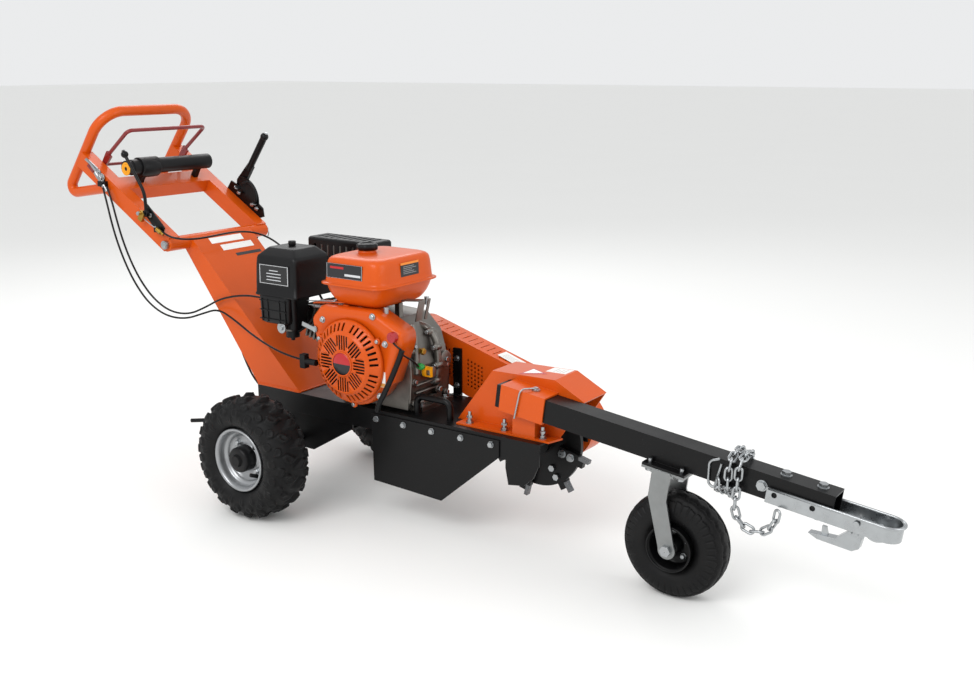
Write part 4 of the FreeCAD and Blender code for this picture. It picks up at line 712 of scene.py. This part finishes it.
def recoilCover():
    # a domed face turned round the crank, with its slots cut through
    e = engine
    y1 = e["cowlFace"] - 0.3
    y0 = y1 - e["recoilDeep"]
    outer = [(0.0, y0), (30, y0), (34, y0 + 1.5), (e["faceR"] - 3, y0 + 2), (e["faceR"], y0 + 4),
             (88, y0 + 9), (108, y0 + 22), (115, y0 + 28), (e["recoilR"], y0 + 33), (e["recoilR"], y1)]
    inner = [(e["recoilR"] - 2, y1), (e["recoilR"] - 2, y0 + 34), (113, y0 + 30), (106, y0 + 24.5),
             (86.5, y0 + 11), (82, y0 + 5.4), (e["faceR"] - 4, y0 + 3.6), (33, y0 + 3.1), (0.0, y0 + 2)]
    piece = turned("recoilCoverSlotted", outer + inner, (e["crankX"], 0, e["crankZ"]), (0, 1, 0),
                   orangeEnamel, steps=144)
    slots = []
    # eight fields of parallel slots; the outer ends follow the face's rim, the inner ends its badge
    for sector in range(8):
        mid = math.radians(45 * sector + 90)
        out = np.array([math.cos(mid), 0, math.sin(mid)])
        side = np.array([-math.sin(mid), 0, math.cos(mid)])
        for k in range(-3, 4):
            off = 8.4 * k
            far = math.sqrt(79 ** 2 - off ** 2)
            near = max(math.sqrt(max(39 ** 2 - off ** 2, 0)), abs(off) / math.tan(math.radians(21)) + 4)
            if far - near < 6:
                continue
            middle = np.array([e["crankX"], y0, e["crankZ"]]) + out * (far + near) / 2 + side * off
            slots.append(slab(middle, out, side, (0, 1, 0), (far - near, 4.9, 24)))
    for k in range(40):
        if k % 10 == 9:
            continue
        q = math.radians(9 * k + 4)
        out = np.array([math.cos(q), 0, math.sin(q)])
        side = np.array([-math.sin(q), 0, math.cos(q)])
        middle = np.array([e["crankX"], y0 + 17, e["crankZ"]]) + out * 100
        lean = out + np.array([0, 0.62, 0])
        slots.append(slab(middle, lean, side, np.cross(lean, side), (24, 6.2, 14)))
    turned("starterReel", [(0, y0 + 12), (74, y0 + 12), (86, y0 + 20), (102, y0 + 33), (98, y0 + 36),
                           (0, y0 + 36)],
           (e["crankX"], 0, e["crankZ"]), (0, 1, 0), blackMoulding, steps=96)
    rope = block((e["crankX"] - e["recoilR"], y1 - 14, 436), (14, 12, 12))
    cutOut(piece, slots + [rope])
    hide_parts("recoil_cover")
    return y0


faceY = recoilCover()
fanCowl()


def labelMaterial(name, face, band=None, span=(2, 3), border=None, lines=0, rim=0):
    # printed film: a plain face, a band over a span of its height, and in the border's colour
    # a thin frame and blank bars in place of print; a span past 1 leaves the band out
    band, border = band or face, border or face
    m = bpy.data.materials.new(name)
    m.use_nodes = True
    m["slot"] = "black_plastic"
    t = m.node_tree
    shader = t.nodes["Principled BSDF"]
    uv = addNode(t, "ShaderNodeUVMap", uv_map="UVMap").outputs["UV"]
    xyz = addNode(t, "ShaderNodeSeparateXYZ", {"Vector": uv})
    u, v = xyz.outputs["X"], xyz.outputs["Y"]

    def between(value, low, high):
        a = addNode(t, "ShaderNodeMath", {0: value, 1: low}, operation="GREATER_THAN")
        b = addNode(t, "ShaderNodeMath", {0: value, 1: high}, operation="LESS_THAN")
        return addNode(t, "ShaderNodeMath", {0: a.outputs[0], 1: b.outputs[0]},
                       operation="MULTIPLY").outputs[0]

    inside = between(v, *span)
    colour = addNode(t, "ShaderNodeMix", {"Factor": inside, "A": linear(face), "B": linear(band)},
                     data_type="RGBA").outputs["Result"]
    for k in range(lines):
        low = 0.18 + 0.62 * k / max(lines, 1)
        row = addNode(t, "ShaderNodeMath", {0: between(v, low, low + 0.22 / lines),
                                            1: between(u, 0.14, 0.86 - 0.12 * (k % 3))},
                      operation="MULTIPLY")
        colour = addNode(t, "ShaderNodeMix", {"Factor": row.outputs[0], "A": colour, "B": linear(border)},
                         data_type="RGBA").outputs["Result"]
    if rim:
        core = addNode(t, "ShaderNodeMath", {0: between(u, rim * 1.6, 1 - rim * 1.6),
                                             1: between(v, rim * 2, 1 - rim * 2)},
                       operation="MULTIPLY").outputs[0]
        outer = addNode(t, "ShaderNodeMath", {0: between(u, rim, 1 - rim),
                                              1: between(v, rim * 1.25, 1 - rim * 1.25)},
                        operation="MULTIPLY").outputs[0]
        frameMask = addNode(t, "ShaderNodeMath", {0: outer, 1: core}, operation="SUBTRACT").outputs[0]
        colour = addNode(t, "ShaderNodeMix", {"Factor": frameMask, "A": colour, "B": linear(border)},
                         data_type="RGBA").outputs["Result"]
    where = addNode(t, "ShaderNodeTexCoord").outputs["Object"]
    scuff = addNode(t, "ShaderNodeTexNoise", {"Vector": where, "Scale": 300.0, "Detail": 3.0})
    gloss = addNode(t, "ShaderNodeMapRange", {"Value": scuff.outputs["Fac"], "To Min": 0.22, "To Max": 0.42})
    t.links.new(colour, shader.inputs["Base Color"])
    t.links.new(gloss.outputs["Result"], shader.inputs["Roughness"])
    return m


def label(name, middle, right, up, size, material, shape=None, thick=0.4):
    # a thin film: a grid over its width and height, lifted off the paint by its own thickness
    # shape gives the share of the width at each height, from -0.5 to 0.5
    right, up = np.asarray(right, float), np.asarray(up, float)
    right, up = right / np.linalg.norm(right), up / np.linalg.norm(up)
    out = np.cross(right, up)
    n = 12
    s = np.linspace(-0.5, 0.5, n)
    uu, vv = np.meshgrid(s, s, indexing="ij")
    w = uu if shape is None else shape(vv) * uu
    points = np.asarray(middle, float) + (w * size[0])[..., None] * right + (vv * size[1])[..., None] * up
    points = points.reshape(-1, 3)
    both = np.vstack([points + out * thick, points])
    top = gridFaces(n, n)
    faces = [list(f) for f in top] + [[int(i) + n * n for i in reversed(f)] for f in top]
    edge = list(range(n)) + [n * k + n - 1 for k in range(1, n)] + [n * n - 1 - k for k in range(1, n)] \
        + [n * k for k in range(n - 2, 0, -1)]
    for a, b in zip(edge, edge[1:] + edge[:1]):
        faces.append([a, b, b + n * n, a + n * n])
    piece = newPiece(name, both, faces, material, smooth=False, closed=False)
    uvs = np.stack([np.tile(uu.ravel(), 2), np.tile(vv.ravel(), 2)], 1) + 0.5
    setUv(piece, uvs)


silverBar = labelMaterial("silverBar", "C9CBCE")
redBar = labelMaterial("redBar", "B3141A")
badgeFace = labelMaterial("badgeFilm", "17171A", "B01A20", (0.5, 2.0), "C9C9CB")
tankFilm = labelMaterial("tankFilm", "1B1B1F", border="C2C4C8", rim=0.012)
noticeFilm = labelMaterial("noticeFilm", "1C1C1E", "F08A1E", (0.84, 2.0), "8E8E90", lines=5)
filterFilm = labelMaterial("filterFilm", "161617", border="C9CACC", rim=0.03)
whiteFilm = labelMaterial("whiteFilm", "E9E9E6", "C98A3A", (0.0, 0.28), "B9B9B7", rim=0.03)


def roundBadge():
    # a domed disc: radius and rise on a polar grid, its film split across the middle
    e = engine
    rr = np.linspace(0, 1, 9)[1:]
    a = np.linspace(0, 2 * np.pi, 64, endpoint=False)
    rows = [np.stack([e["crankX"] + 31 * q * np.cos(a), np.full_like(a, faceY - 4.5 + 3.2 * q ** 4),
                      e["crankZ"] + 31 * q * np.sin(a)], 1) for q in rr]
    rows.append(np.stack([e["crankX"] + 31.5 * np.cos(a), np.full_like(a, faceY + 2),
                          e["crankZ"] + 31.5 * np.sin(a)], 1))
    points = np.vstack(rows)
    piece = newPiece("recoilBadge", points, capped(len(rows), 64), badgeFace)
    filmWide = 64
    share = (pointsOf(piece.data) - np.array(at(e["crankX"], 0, e["crankZ"]))) * 1000 / filmWide + 0.5
    setUv(piece, share[:, [0, 2]])


roundBadge()
turned("badgeRim", [(31, faceY - 2), (33.5, faceY - 3), (35, faceY - 1), (35, faceY + 2), (31, faceY + 2)],
       (engine["crankX"], 0, engine["crankZ"]), (0, 1, 0), orangeEnamel, steps=64)

tankSizes = {"x0": 143.0, "x1": 355.0, "y0": -165.0, "y1": 95.0, "base": 603.0, "seam": 664.0}
filler = {"x": 228.0, "y": -60.0, "neckZ": 742.0}


def fuelTank():
    # two pressed halves as superellipse outlines, rounder towards the top and drawn in below the rolled seam
    k = tankSizes
    cx, cy = (k["x0"] + k["x1"]) / 2, (k["y0"] + k["y1"]) / 2
    a, b = (k["x1"] - k["x0"]) / 2, (k["y1"] - k["y0"]) / 2
    rows = [(k["base"], cx, cy, a - 46, b - 46)]
    rows += [(k["base"] + h, cx, cy, a - q, b - q) for h, q in ((0.6, 38), (3, 31), (8, 25), (16, 19),
                                                                (28, 12), (42, 6.5), (54, 3), (58, 2))]
    rows += [(k["seam"] - 3, cx, cy, a + 6, b + 6), (k["seam"] - 2, cx, cy, a + 9, b + 9),
             (k["seam"] + 2, cx, cy, a + 9, b + 9), (k["seam"] + 3, cx, cy, a + 6, b + 6),
             (k["seam"] + 4, cx, cy, a + 0.5, b + 0.5)]
    rows += [(k["seam"] + h, cx, cy, a - q, b - q) for h, q in
             ((12, 1), (30, 2.5), (50, 4.5), (61, 6.5), (67, 9.5), (71, 14), (74, 21), (75.6, 30),
              (76.6, 50), (76.9, 80))]
    piece = softBlock("fuelTankPressed", rows, 6.5, orangeEnamel, steps=160)
    turned("tankNeck", [(17, -6), (24, -5), (26, -1), (25.5, 6), (17, 8)],
           (filler["x"], filler["y"], filler["neckZ"]), (0, 0, 1), orangeEnamel, steps=48)
    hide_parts("fuel_tank")


def fuelCap():
    # nine grips: radius = r * (1 - 4.5% of a cubed cosine), shallower where the cap narrows at its top
    a = np.linspace(0, 2 * np.pi, 192, endpoint=False)
    lobe = 0.045 * np.abs(np.cos(9 * a / 2)) ** 3
    rows = []
    for z, r in ((749.5, 28), (750.5, 30), (760, 30.2), (764, 28.5), (766.5, 24), (766.8, 20),
                 (764.5, 18.5), (764, 8)):
        r = r * (1 - (lobe if r > 27 else lobe * 0.3))
        rows.append(np.stack([filler["x"] + r * np.cos(a), filler["y"] + r * np.sin(a),
                              np.full_like(a, z)], 1))
    piece = newPiece("fuelCapLobed", np.vstack(rows), capped(len(rows), 192), blackMoulding, body="tank_cap")
    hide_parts("fuel_cap")


def airFilter():
    # a moulded box with a hipped lid, its lower edge flared over the tray
    x0, x1, y0, y1 = -121.0, 46.0, -160.0, -2.0
    cx, cy, a, b = (x0 + x1) / 2, (y0 + y1) / 2, (x1 - x0) / 2, (y1 - y0) / 2
    rows = [(600, cx, cy, a - 3, b - 3), (600.5, cx, cy, a, b), (606, cx, cy, a, b),
            (608, cx, cy, a - 2, b - 2)]
    rows += [(z, cx, cy, a - q, b - q) for z, q in ((650, 3), (690, 4.5), (706, 6), (714, 8), (718, 12),
                                                    (735, 30), (737.6, 34), (738.4, 42), (738.6, 66))]
    piece = softBlock("airFilterLid", rows, 14, blackMoulding, steps=192)
    turned("filterKnob", [(0, 1), (10, 1), (11, -1), (11, -9), (9.5, -14)], (cx, cy, 752), (0, 0, 1),
           blackMoulding, steps=32)
    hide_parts("air_filter_cover")


fuelTank()
fuelCap()
airFilter()
for name, middle, size, film in (("tankLabel", (232, -162.6, 702), (128, 40), tankFilm),
                                 ("tankLabelBar", (262, -163.3, 693), (56, 6), silverBar),
                                 ("tankLabelRed", (206, -162.7, 711), (48, 6), redBar)):
    label(name, middle, (1, 0, 0), (0, 0.035, 1), size, film)
label("tankNotice", (352.6, -30, 704), (0, 1, 0), (-0.03, 0, 1), (78, 38), noticeFilm)
label("filterLabel", (-40, -157.6, 664), (1, 0, 0), (0, 0.022, 1), (118, 58), filterFilm)
for k in range(4):
    label("filterBar%d" % k, (-40, -158.0 + 0.022 * (12 - 9 * k), 676 - 9 * k), (1, 0, 0), (0, 0.022, 1),
          (34 + 22 * (k > 0), 2.2), silverBar)
print("engine covers made")

# --- engine hardware ---


front = engine["cowlFace"]
earCircle = 121
screws = [(168, front, 372), (350, front, 372), (372, front, 520), (150, front, 560), (330, front, 590)]
parts = []
for c in screws:
    parts.append(disc(c, (0, -1, 0), 9.5, 1.6))
    parts.append(hexHead(np.add(c, (0, -1.6, 0)), (0, -1, 0), 13, 5.5))
for x, z in ((175, 372), (330, 372), (372, 466), (335, 528), (165, 528), (140, 452)):
    parts += [hexHead((x, 91.5, z), (0, 1, 0), 12, 5)]
joined("coverScrews", parts, zincPlate, smooth=False)
for q in (35, 155, 275):
    c, s = math.cos(math.radians(q)), math.sin(math.radians(q))
    ear = (engine["crankX"] + earCircle * c, 0, engine["crankZ"] + earCircle * s)
    turned("recoilEar%d" % q, [(0, 0), (9, 0), (9, -5), (7.5, -6.5), (0, -6.5)],
           np.add(ear, (0, front - 0.2, 0)), (0, 1, 0), orangeEnamel, steps=24)
    joined("recoilNut%d" % q, [hexHead(np.add(ear, (0, front - 6.6, 0)), (0, -1, 0), 10, 4.5)], zincPlate,
           smooth=False)

# cast ribs, gasket edge and bosses on the crankcase towards the hood
bosses = ((-84, 400), (-84, 500), (60, 420), (60, 340), (-84, 340))
castRibs = []
for k, z in enumerate((346, 368, 390)):
    castRibs.append(block((404, -20, z), (10, 110, 5)))
for y, z in bosses:
    castRibs.append(disc((388, y, z), (1, 0, 0.1), 9, 20))
castRibs.append(loft([(388, -70, 560), (398, -70, 520), (404, -70, 470), (404, -70, 420)], 9))
castRibs.append(loft([(300, -80, 574), (340, -80, 566), (378, -78, 530), (396, -76, 480)], 11))
castRibs.append(disc((396, 20, 360), (1, 0, 0), 12, 14))
joined("crankcaseRibs", castRibs, castAluminium)
gasket = loft([(166, -99, 336), (150, -99, 440), (160, -99, 540), (214, -99, 576), (330, -99, 570),
               (384, -99, 520), (406, -99, 440), (400, -99, 336)], 2.6, 8)
joined("crankcaseGasket", [gasket], castAluminium)
heads = []
for y, z in bosses:
    heads.append(hexHead((409.5, y, z + 2), (1, 0, 0.1), 11, 5))
heads.append(hexHead((410.5, 20, 360), (1, 0, 0), 15, 8))
joined("crankcaseScrews", heads, zincPlate, smooth=False)

# loom conduit from the switch down to the deck, with its ribs as a fine wave along it
conduit = {"points": [(432, -168, 512), (424, -172, 486), (404, -176, 440), (380, -176, 396),
                      (352, -172, 352), (336, -160, 328)], "radius": 7.5}
path = roundedPath(conduit["points"], 30)
wave = 1 + 0.05 * np.cos(np.arange(len(path)) * 2.1)
profile = ring(1.0, 14)
grid = alongPath(path, profile)
grid = path[:, None] + (grid - path[:, None]) * (conduit["radius"] * wave)[:, None, None]
newPiece("loomConduit", grid.reshape(-1, 3), capped(len(path), 14), smoothRubber)
tube("switchLead", [(404, -172, 533), (414, -172, 524), (430, -169, 514)], 2.6, cableJacket)
tube("sumpLead", [(432, -166, 500), (438, -130, 476), (430, -96, 452), (410, -72, 446)], 2.6, cableJacket)
joined("sumpConnector", [disc((410, -70, 446), (1, -0.3, 0), 9, 16), block((424, -74, 446), (14, 12, 9))],
       greenMoulding)
joined("oilSensor", [disc((398, -62, 486), (1, 0, 0), 8, 18), hexHead((416.0, -62, 486), (1, 0, 0), 17, 9)],
       brassPlate, smooth=False)
label("serialFilm", (352, front - 0.1, 420), (1, 0, 0), (0, 0, 1), (38, 44), whiteFilm)

softBlock("airboxBody", [(520, -46, -112, 44, 40), (524, -46, -112, 54, 46), (532, -46, -112, 57, 48),
                         (596, -46, -112, 60, 49),
                        (601, -46, -112, 60, 49)], 7, blackMoulding, steps=96)
joined("airboxRibs", [block((x, -160.5, 560), (3, 4, 66)) for x in (-88, -66, -20, 2)]
       + [block((-46, -161, z), (104, 3, 3)) for z in (534, 560, 588)], blackMoulding, smooth=False)
joined("fuelBowl", [disc((-22, -120, 522), (0, 0, -1), 17, 24),
                    hexHead((-22.0, -120, 498), (0, 0, -1), 12, 8)],
       castAluminium, smooth=False)
# rounded crankcase flange with lugs, and the breather boss, towards the hood
lugPlaces = ((386, 524), (408, 482), (411, 430), (404, 384))
flange = [loft([(340, 16, 540), (376, 18, 530), (400, 20, 500), (408, 20, 456), (406, 20, 412),
                (400, 20, 376)], 10),
          disc((404, 52, 440), (1, 0, 0.05), 24, 9),
          disc((406, -30, 420), (1, 0, 0.12), 16, 22),
          slab((404, -20, 322), (0, 1, 0), (1, 0, 0), (0, 0, 1), (130, 22, 12)),
          slab((398, -20, 334), (0, 1, 0), (1, 0, 0), (0, 0, 1), (120, 14, 20))]
flange += [disc((x, 2, z), (0, 1, 0), 10, 26) for x, z in lugPlaces]
joined("crankcaseFlange", flange, castAluminium)
joined("flangeScrews", [hexHead((x, 1.5, z), (0, -1, 0), 12, 6) for x, z in lugPlaces]
       + [hexHead((413.0, 52, 440), (1, 0, 0), 13, 6)], zincPlate, smooth=False)

# throttle linkage under the tank: bent rods, a control plate and a return spring
linkage = [loft([(60, -128, 586), (110, -132, 590), (150, -134, 594), (196, -134, 600)], 2.0, 8),
           loft([(70, -140, 600), (120, -142, 606), (176, -140, 610)], 1.6, 8),
           loft([(196, -134, 600), (205, -138, 584), (240, -140, 580)], 2.0, 8)]
turns = np.linspace(0, 2 * np.pi * 16, 16 * 12)
spring = np.stack([100 + turns * 0.62, -146 + 4.2 * np.cos(turns), 590 + 4.2 * np.sin(turns)], 1)
linkage.append((alongPath(spring, ring(0.7, 6)).reshape(-1, 3), capped(len(spring), 6)))
joined("governorRods", linkage, zincPlate)
joined("controlPlate", [slab((150, -118, 603), (1, 0, 0.12), (0, 1, 0), (-0.12, 0, 1), (120, 40, 3)),
                        block((212, -136, 592), (18, 6, 24))], orangeEnamel, smooth=False)
joined("controlScrews", [hexHead((c, -120.0, 606.0 + (c - 150) * 0.12), (0, 0, 1), 10, 5) for c in (110, 186)]
       + [disc((212, -139, 592), (0, -1, 0), 5, 4)], zincPlate, smooth=False)
tube("fuelHose", [(190, -60, 606), (158, -78, 598), (118, -92, 584), (66, -98, 552), (34, -102, 520),
                  (-4, -108, 492)], 4.2, smoothRubber)
tube("plugLead", [(-16, 20, 556), (-50, 30, 600), (-10, 40, 618), (60, 20, 606), (120, -40, 590),
                  (160, -80, 580)], 3.6, smoothRubber)
joined("tankBracket", [slab((404, -52, 596), (0.25, 0, 1), (0, 1, 0), (1, 0, -0.25), (60, 26, 3.5)),
                       slab((378, -52, 622), (1, 0, 0.1), (0, 1, 0), (0, 0, 1), (60, 26, 3.5)),
                       slab((404, -20, 596), (0.25, 0, 1), (0, 1, 0), (1, 0, -0.25), (60, 10, 3.5))],
                       castAluminium, smooth=False)
for x, y in ((340, -120), (340, 60), (160, -120), (160, 60)):
    joined("tankStud%d%d" % (x, y), [disc((x, y, 592), (0, 0, 1), 7, 18),
                                     hexHead((x, y, 587.0), (0, 0, 1), 12, 6)], zincPlate, smooth=False)
bowl = [disc((-20, -152, 512), (0, -1, 0), 16, 5), disc((-20, -157, 512), (0, -1, 0), 7, 4),
        block((-52, -146, 540), (10, 8, 30))]
joined("intakeFittings", bowl, zincPlate, smooth=False)
print("engine hardware made")

# --- nose wheel ---


def noseRim():
    # cast rim: flange, barrel, thin web and hub round its section, (radius, distance out)
    section = [(54, 50.5), (58, 49), (58.5, 46), (54, 43), (51, 39), (50.5, 12), (47, 6), (24, 4), (19, 8),
               (19, 38), (13, 40), (13, -40), (19, -38), (19, -8), (48, -6), (53, -12), (53.5, -40),
               (58.5, -46), (58, -49), (54, -50.5), (56, -44), (55.5, 0), (56, 44)]
    n = frontTyre
    piece = turned("noseRimCast", [(r, -h) for r, h in section + section[:1]], (n["x"], n["y"], n["outer"]),
                   (0, 1, 0), blackPowder, steps=80, body="front_wheel")
    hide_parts("front_rim")
    nuts = []
    for k in range(5):
        q = math.radians(72 * k + 20)
        c = np.array([n["x"] + 35 * math.cos(q), n["y"] - 5, n["outer"] + 35 * math.sin(q)])
        nuts += [disc(c, (0, -1, 0), 7.5, 1.5), hexHead(c + np.array([0, -1.5, 0]), (0, -1, 0), 11, 7)]
    joined("noseWheelNuts", nuts, zincPlate, body="front_wheel", smooth=False)
    joined("noseValve", [disc((n["x"] + 44, n["y"] - 8, n["outer"] - 8), (0.3, -1, 0), 4, 22)],
           smoothRubber, body="front_wheel")


noseRim()

# --- fittings on the handle ---

tool = {"x": -648.0, "z": 933.0, "half": 164.0}
turned("toolTubeCollar", [(24, -118), (27.5, -114), (30.5, -104), (31, -74), (30, -52), (26.5, -46),
                          (24, -44)],
       (tool["x"], 0, tool["z"]), (0, 1, 0), blackMoulding, steps=64, body="handle", closed=False)
turned("toolTubeEnd", [(6, -0.2), (7, -1.6), (9.5, -1.6), (10.5, -0.4), (14.5, -0.4), (15.5, -1.8),
                       (19, -1.8), (20.2, -0.6), (20.2, 0.6), (6, 0.6)],
       (tool["x"], -tool["half"], tool["z"]), (0, 1, 0), yellowMoulding, steps=64, body="handle")
along = np.array([math.cos(math.radians(-31.6)), 0, math.sin(math.radians(-31.6))])
upRail = np.array([-along[2], 0, along[0]])

# adjuster barrel, rod and clevis where the inner wires leave the bail
adjuster = [loft([(-724, -206, 906), (-742, -206, 925), (-768, -205, 948), (-790, -203, 958)], 3.0, 10),
            disc((-724, -207, 905), (-0.66, 0, 0.75), 8, 22), disc((-706, -207, 886), (-0.6, 0, 0.8), 6, 20),
            disc((-700, -207, 879), (-0.6, 0, 0.8), 8.5, 6), disc((-690, -209, 866), (-0.5, 0, 0.86), 5, 20),
            disc((-716, -203, 905), (0, -1, 0), 14, 4), hexHead((-716.0, -207, 905), (0, -1, 0), 17, 8),
            disc((-730, -203, 921), (0, -1, 0), 10, 3), hexHead((-730.0, -206, 921), (0, -1, 0), 11, 6),
            slab((-762, -202, 944), (-0.86, 0, 0.5), (0, 1, 0), (0.5, 0, 0.86), (60, 3, 10))]
joined("bailAdjuster", adjuster, zincPlate, body="handle", smooth=False)
# folded brass-coloured clevis and barrel at the throttle bracket
clevis = [slab((-520, -219, 803), along, (0, 1, 0), upRail, (18, 10, 30)),
          disc((-523, -224, 812), (0, -1, 0), 6, 4), disc((-463, -213, 768), along, 6.5, 20),
          disc((-451, -211, 761), along, 4.5, 16)]
joined("throttleClevis", clevis, brassPlate, body="handle", smooth=False)
joined("throttleScrews", [hexHead((-523.0, -228, 812), (0, -1, 0), 11, 6),
                          disc((-498, -205, 806), (0, -1, 0), 7, 3),
                          hexHead((-476.0, -205.5, 770), (0, -1, 0), 10, 5),
                          loft([(-516, -218, 798), (-496, -217, 786), (-470, -214, 771)], 1.6, 8)],
       zincPlate, body="handle", smooth=False)
for name, body, tip, axis, r in (("throttleTip", "throttle", (-592, -213, 993.4), (-0.5, 0, 0.86), 5.5),
                                 ("brakeTip", "brake", (-422.5, 214, 1029.5), (0.6, 0, 0.8), 6.5)):
    joined(name, [disc(tip, axis, r, 1.8)], zincPlate, body=body)
# brake bracket: bolts, folded clevis, barrel and the loop of its spring
bracketBolts = ((-580, 852), (-500, 800), (-462, 776), (-530, 832))
joined("brakeBolts", [hexHead((x, 205.5, z), (0, 1, 0), 13, 7) for x, z in bracketBolts]
       + [disc((x, 193, z), upRail, 9, 3) for x, z in ((-548, 850), (-470, 803))]
       + [hexHead((x, 190, z), upRail, 13, 8) for x, z in ((-536, 833), (-478, 797), (-458, 785))],
       zincPlate, body="handle", smooth=False)
joined("brakeBarrel", [disc((-482, 213, 776), (0.3, 0, -0.95), 6, 20),
                       slab((-492, 212, 800), (0.45, 0, -0.9), (0, 1, 0), (0.9, 0, 0.45), (26, 9, 10))],
       brassPlate, body="handle", smooth=False)
tube("brakeSpringLoop", [(-520, 195, 866), (-494, 194.5, 872), (-470, 194.5, 856), (-462, 194.5, 826),
                         (-470, 195, 802), (-484, 195, 796)],
     4.6, blackPowder, body="handle")
joined("pivotEnds", [disc((-440, -211.2, 721), (0, -1, 0), 10, 1.5)], zincPlate, body="chassis")
print("handle fittings made")

# --- coupler lip and bar fittings ---

bar = {"x": 700.0, "y": -90.0, "z": 422.3, "pitch": math.radians(7.1)}
lip = {"from": 742.0, "middle": 900.0, "roundAt": 999.7, "wide": 36.0, "up": 1.0, "wire": 3.2}


def onBar(points):
    # (along, across, up) from the bar's root to mm from the axle
    p = np.asarray(points, float)
    c, s = math.cos(bar["pitch"]), math.sin(bar["pitch"])
    return np.stack([bar["x"] + p[..., 0] * c + p[..., 2] * s, bar["y"] + p[..., 1],
                     bar["z"] - p[..., 0] * s + p[..., 2] * c], -1)


w, up = lip["wide"], lip["up"]
route = [(lip["from"], -w, up), (lip["middle"], -w, up)]
halfTurn = np.radians(np.linspace(-90, 90, 25))
route += [(lip["roundAt"] + w * math.cos(q), w * math.sin(q), up) for q in halfTurn]
route += [(lip["middle"], w, up), (lip["from"], w, up)]
lipPath = onBar(route)
grid = alongPath(lipPath, ring(lip["wire"], 10))
newPiece("couplerLip", grid.reshape(-1, 3), capped(len(lipPath), 10), zincPlate)
upBar = (math.sin(bar["pitch"]), 0, math.cos(bar["pitch"]))
pins = [disc(onBar((944, -38, -12)), (0, -1, 0), 7, 3)]
pins += [hexHead(onBar((s, y, -20)), upBar, 10, 6) for s, y in ((968, -12), (986, 8), (1000, -4))]
pins.append(disc(onBar((930, -19, -44)), (0, -1, 0), 5, 4))
joined("couplerPins", pins, zincPlate, smooth=False)
print("coupler finished")

studs = []
for x in (592.0, 703.0, 820.0):
    studs += [disc((x, -85, 321), (0, 0, 1), 5, 30), hexHead((x, -85.0, 334.0), (0, 0, 1), 15, 7)]
joined("hoodStuds", studs, zincPlate, smooth=False)
welds = []
for x0, y0, z0, x1, y1, z1 in ((-158, -122, 316, 6, -122, 316), (-158, 122, 316, 6, 122, 316),
                               (8, -120, 317, 8, 120, 317)):
    t = np.linspace(0, 1, 60)[:, None]
    line = np.array([x0, y0, z0]) * (1 - t) + np.array([x1, y1, z1]) * t
    grid = alongPath(line, ring(1.0, 8))
    size = (2.6 + 0.5 * np.cos(np.arange(60) * 1.9))[:, None, None]
    welds.append(((line[:, None] + (grid - line[:, None]) * size).reshape(-1, 3), capped(60, 8)))
joined("mastWelds", welds, orangeEnamel)

# --- decals on the frame ---

whiteBar = labelMaterial("whiteBar", "EFEEEA")
darkBar = labelMaterial("darkBar", "2A2A2B")
noticeBlank = labelMaterial("noticeBlank", "E8E7E3", border="B9B7B1", lines=4)
mastTop = np.array([-418.0, 0, 735.0])
down = np.array([0.7138, 0, -0.7005])
for name, y, drop, size, film in (("mastStripeA", 2, 24, (132, 22), whiteBar),
                                  ("mastStripeB", 26, 55, (128, 22), whiteBar),
                                  ("mastStripeC", 50, 88, (104, 11), darkBar)):
    label(name, mastTop + down * drop + np.array([0, y, 0]), (0, 1, 0), -down, size, film)
for name, side, lift, film in (("hoodTriangle", 74, 0.0, redBar), ("hoodTriangleInner", 50, 0.45, whiteBar)):
    label(name, (742, -8, 468.0 + lift), (0.86, 0.5, 0.018), (-0.5, 0.86, -0.01), (side, side * 0.82), film,
          shape=lambda v: 0.5 - v)
label("hoodNotice", (800, 30, 469.2), (0, 1, 0), (-1, 0, -0.021), (46, 60), noticeBlank)
label("guardLabel", (560, 167, 436.6), (0.948, 0, -0.318), (0, 1, 0), (74, 44), noticeBlank)
print("decals placed")
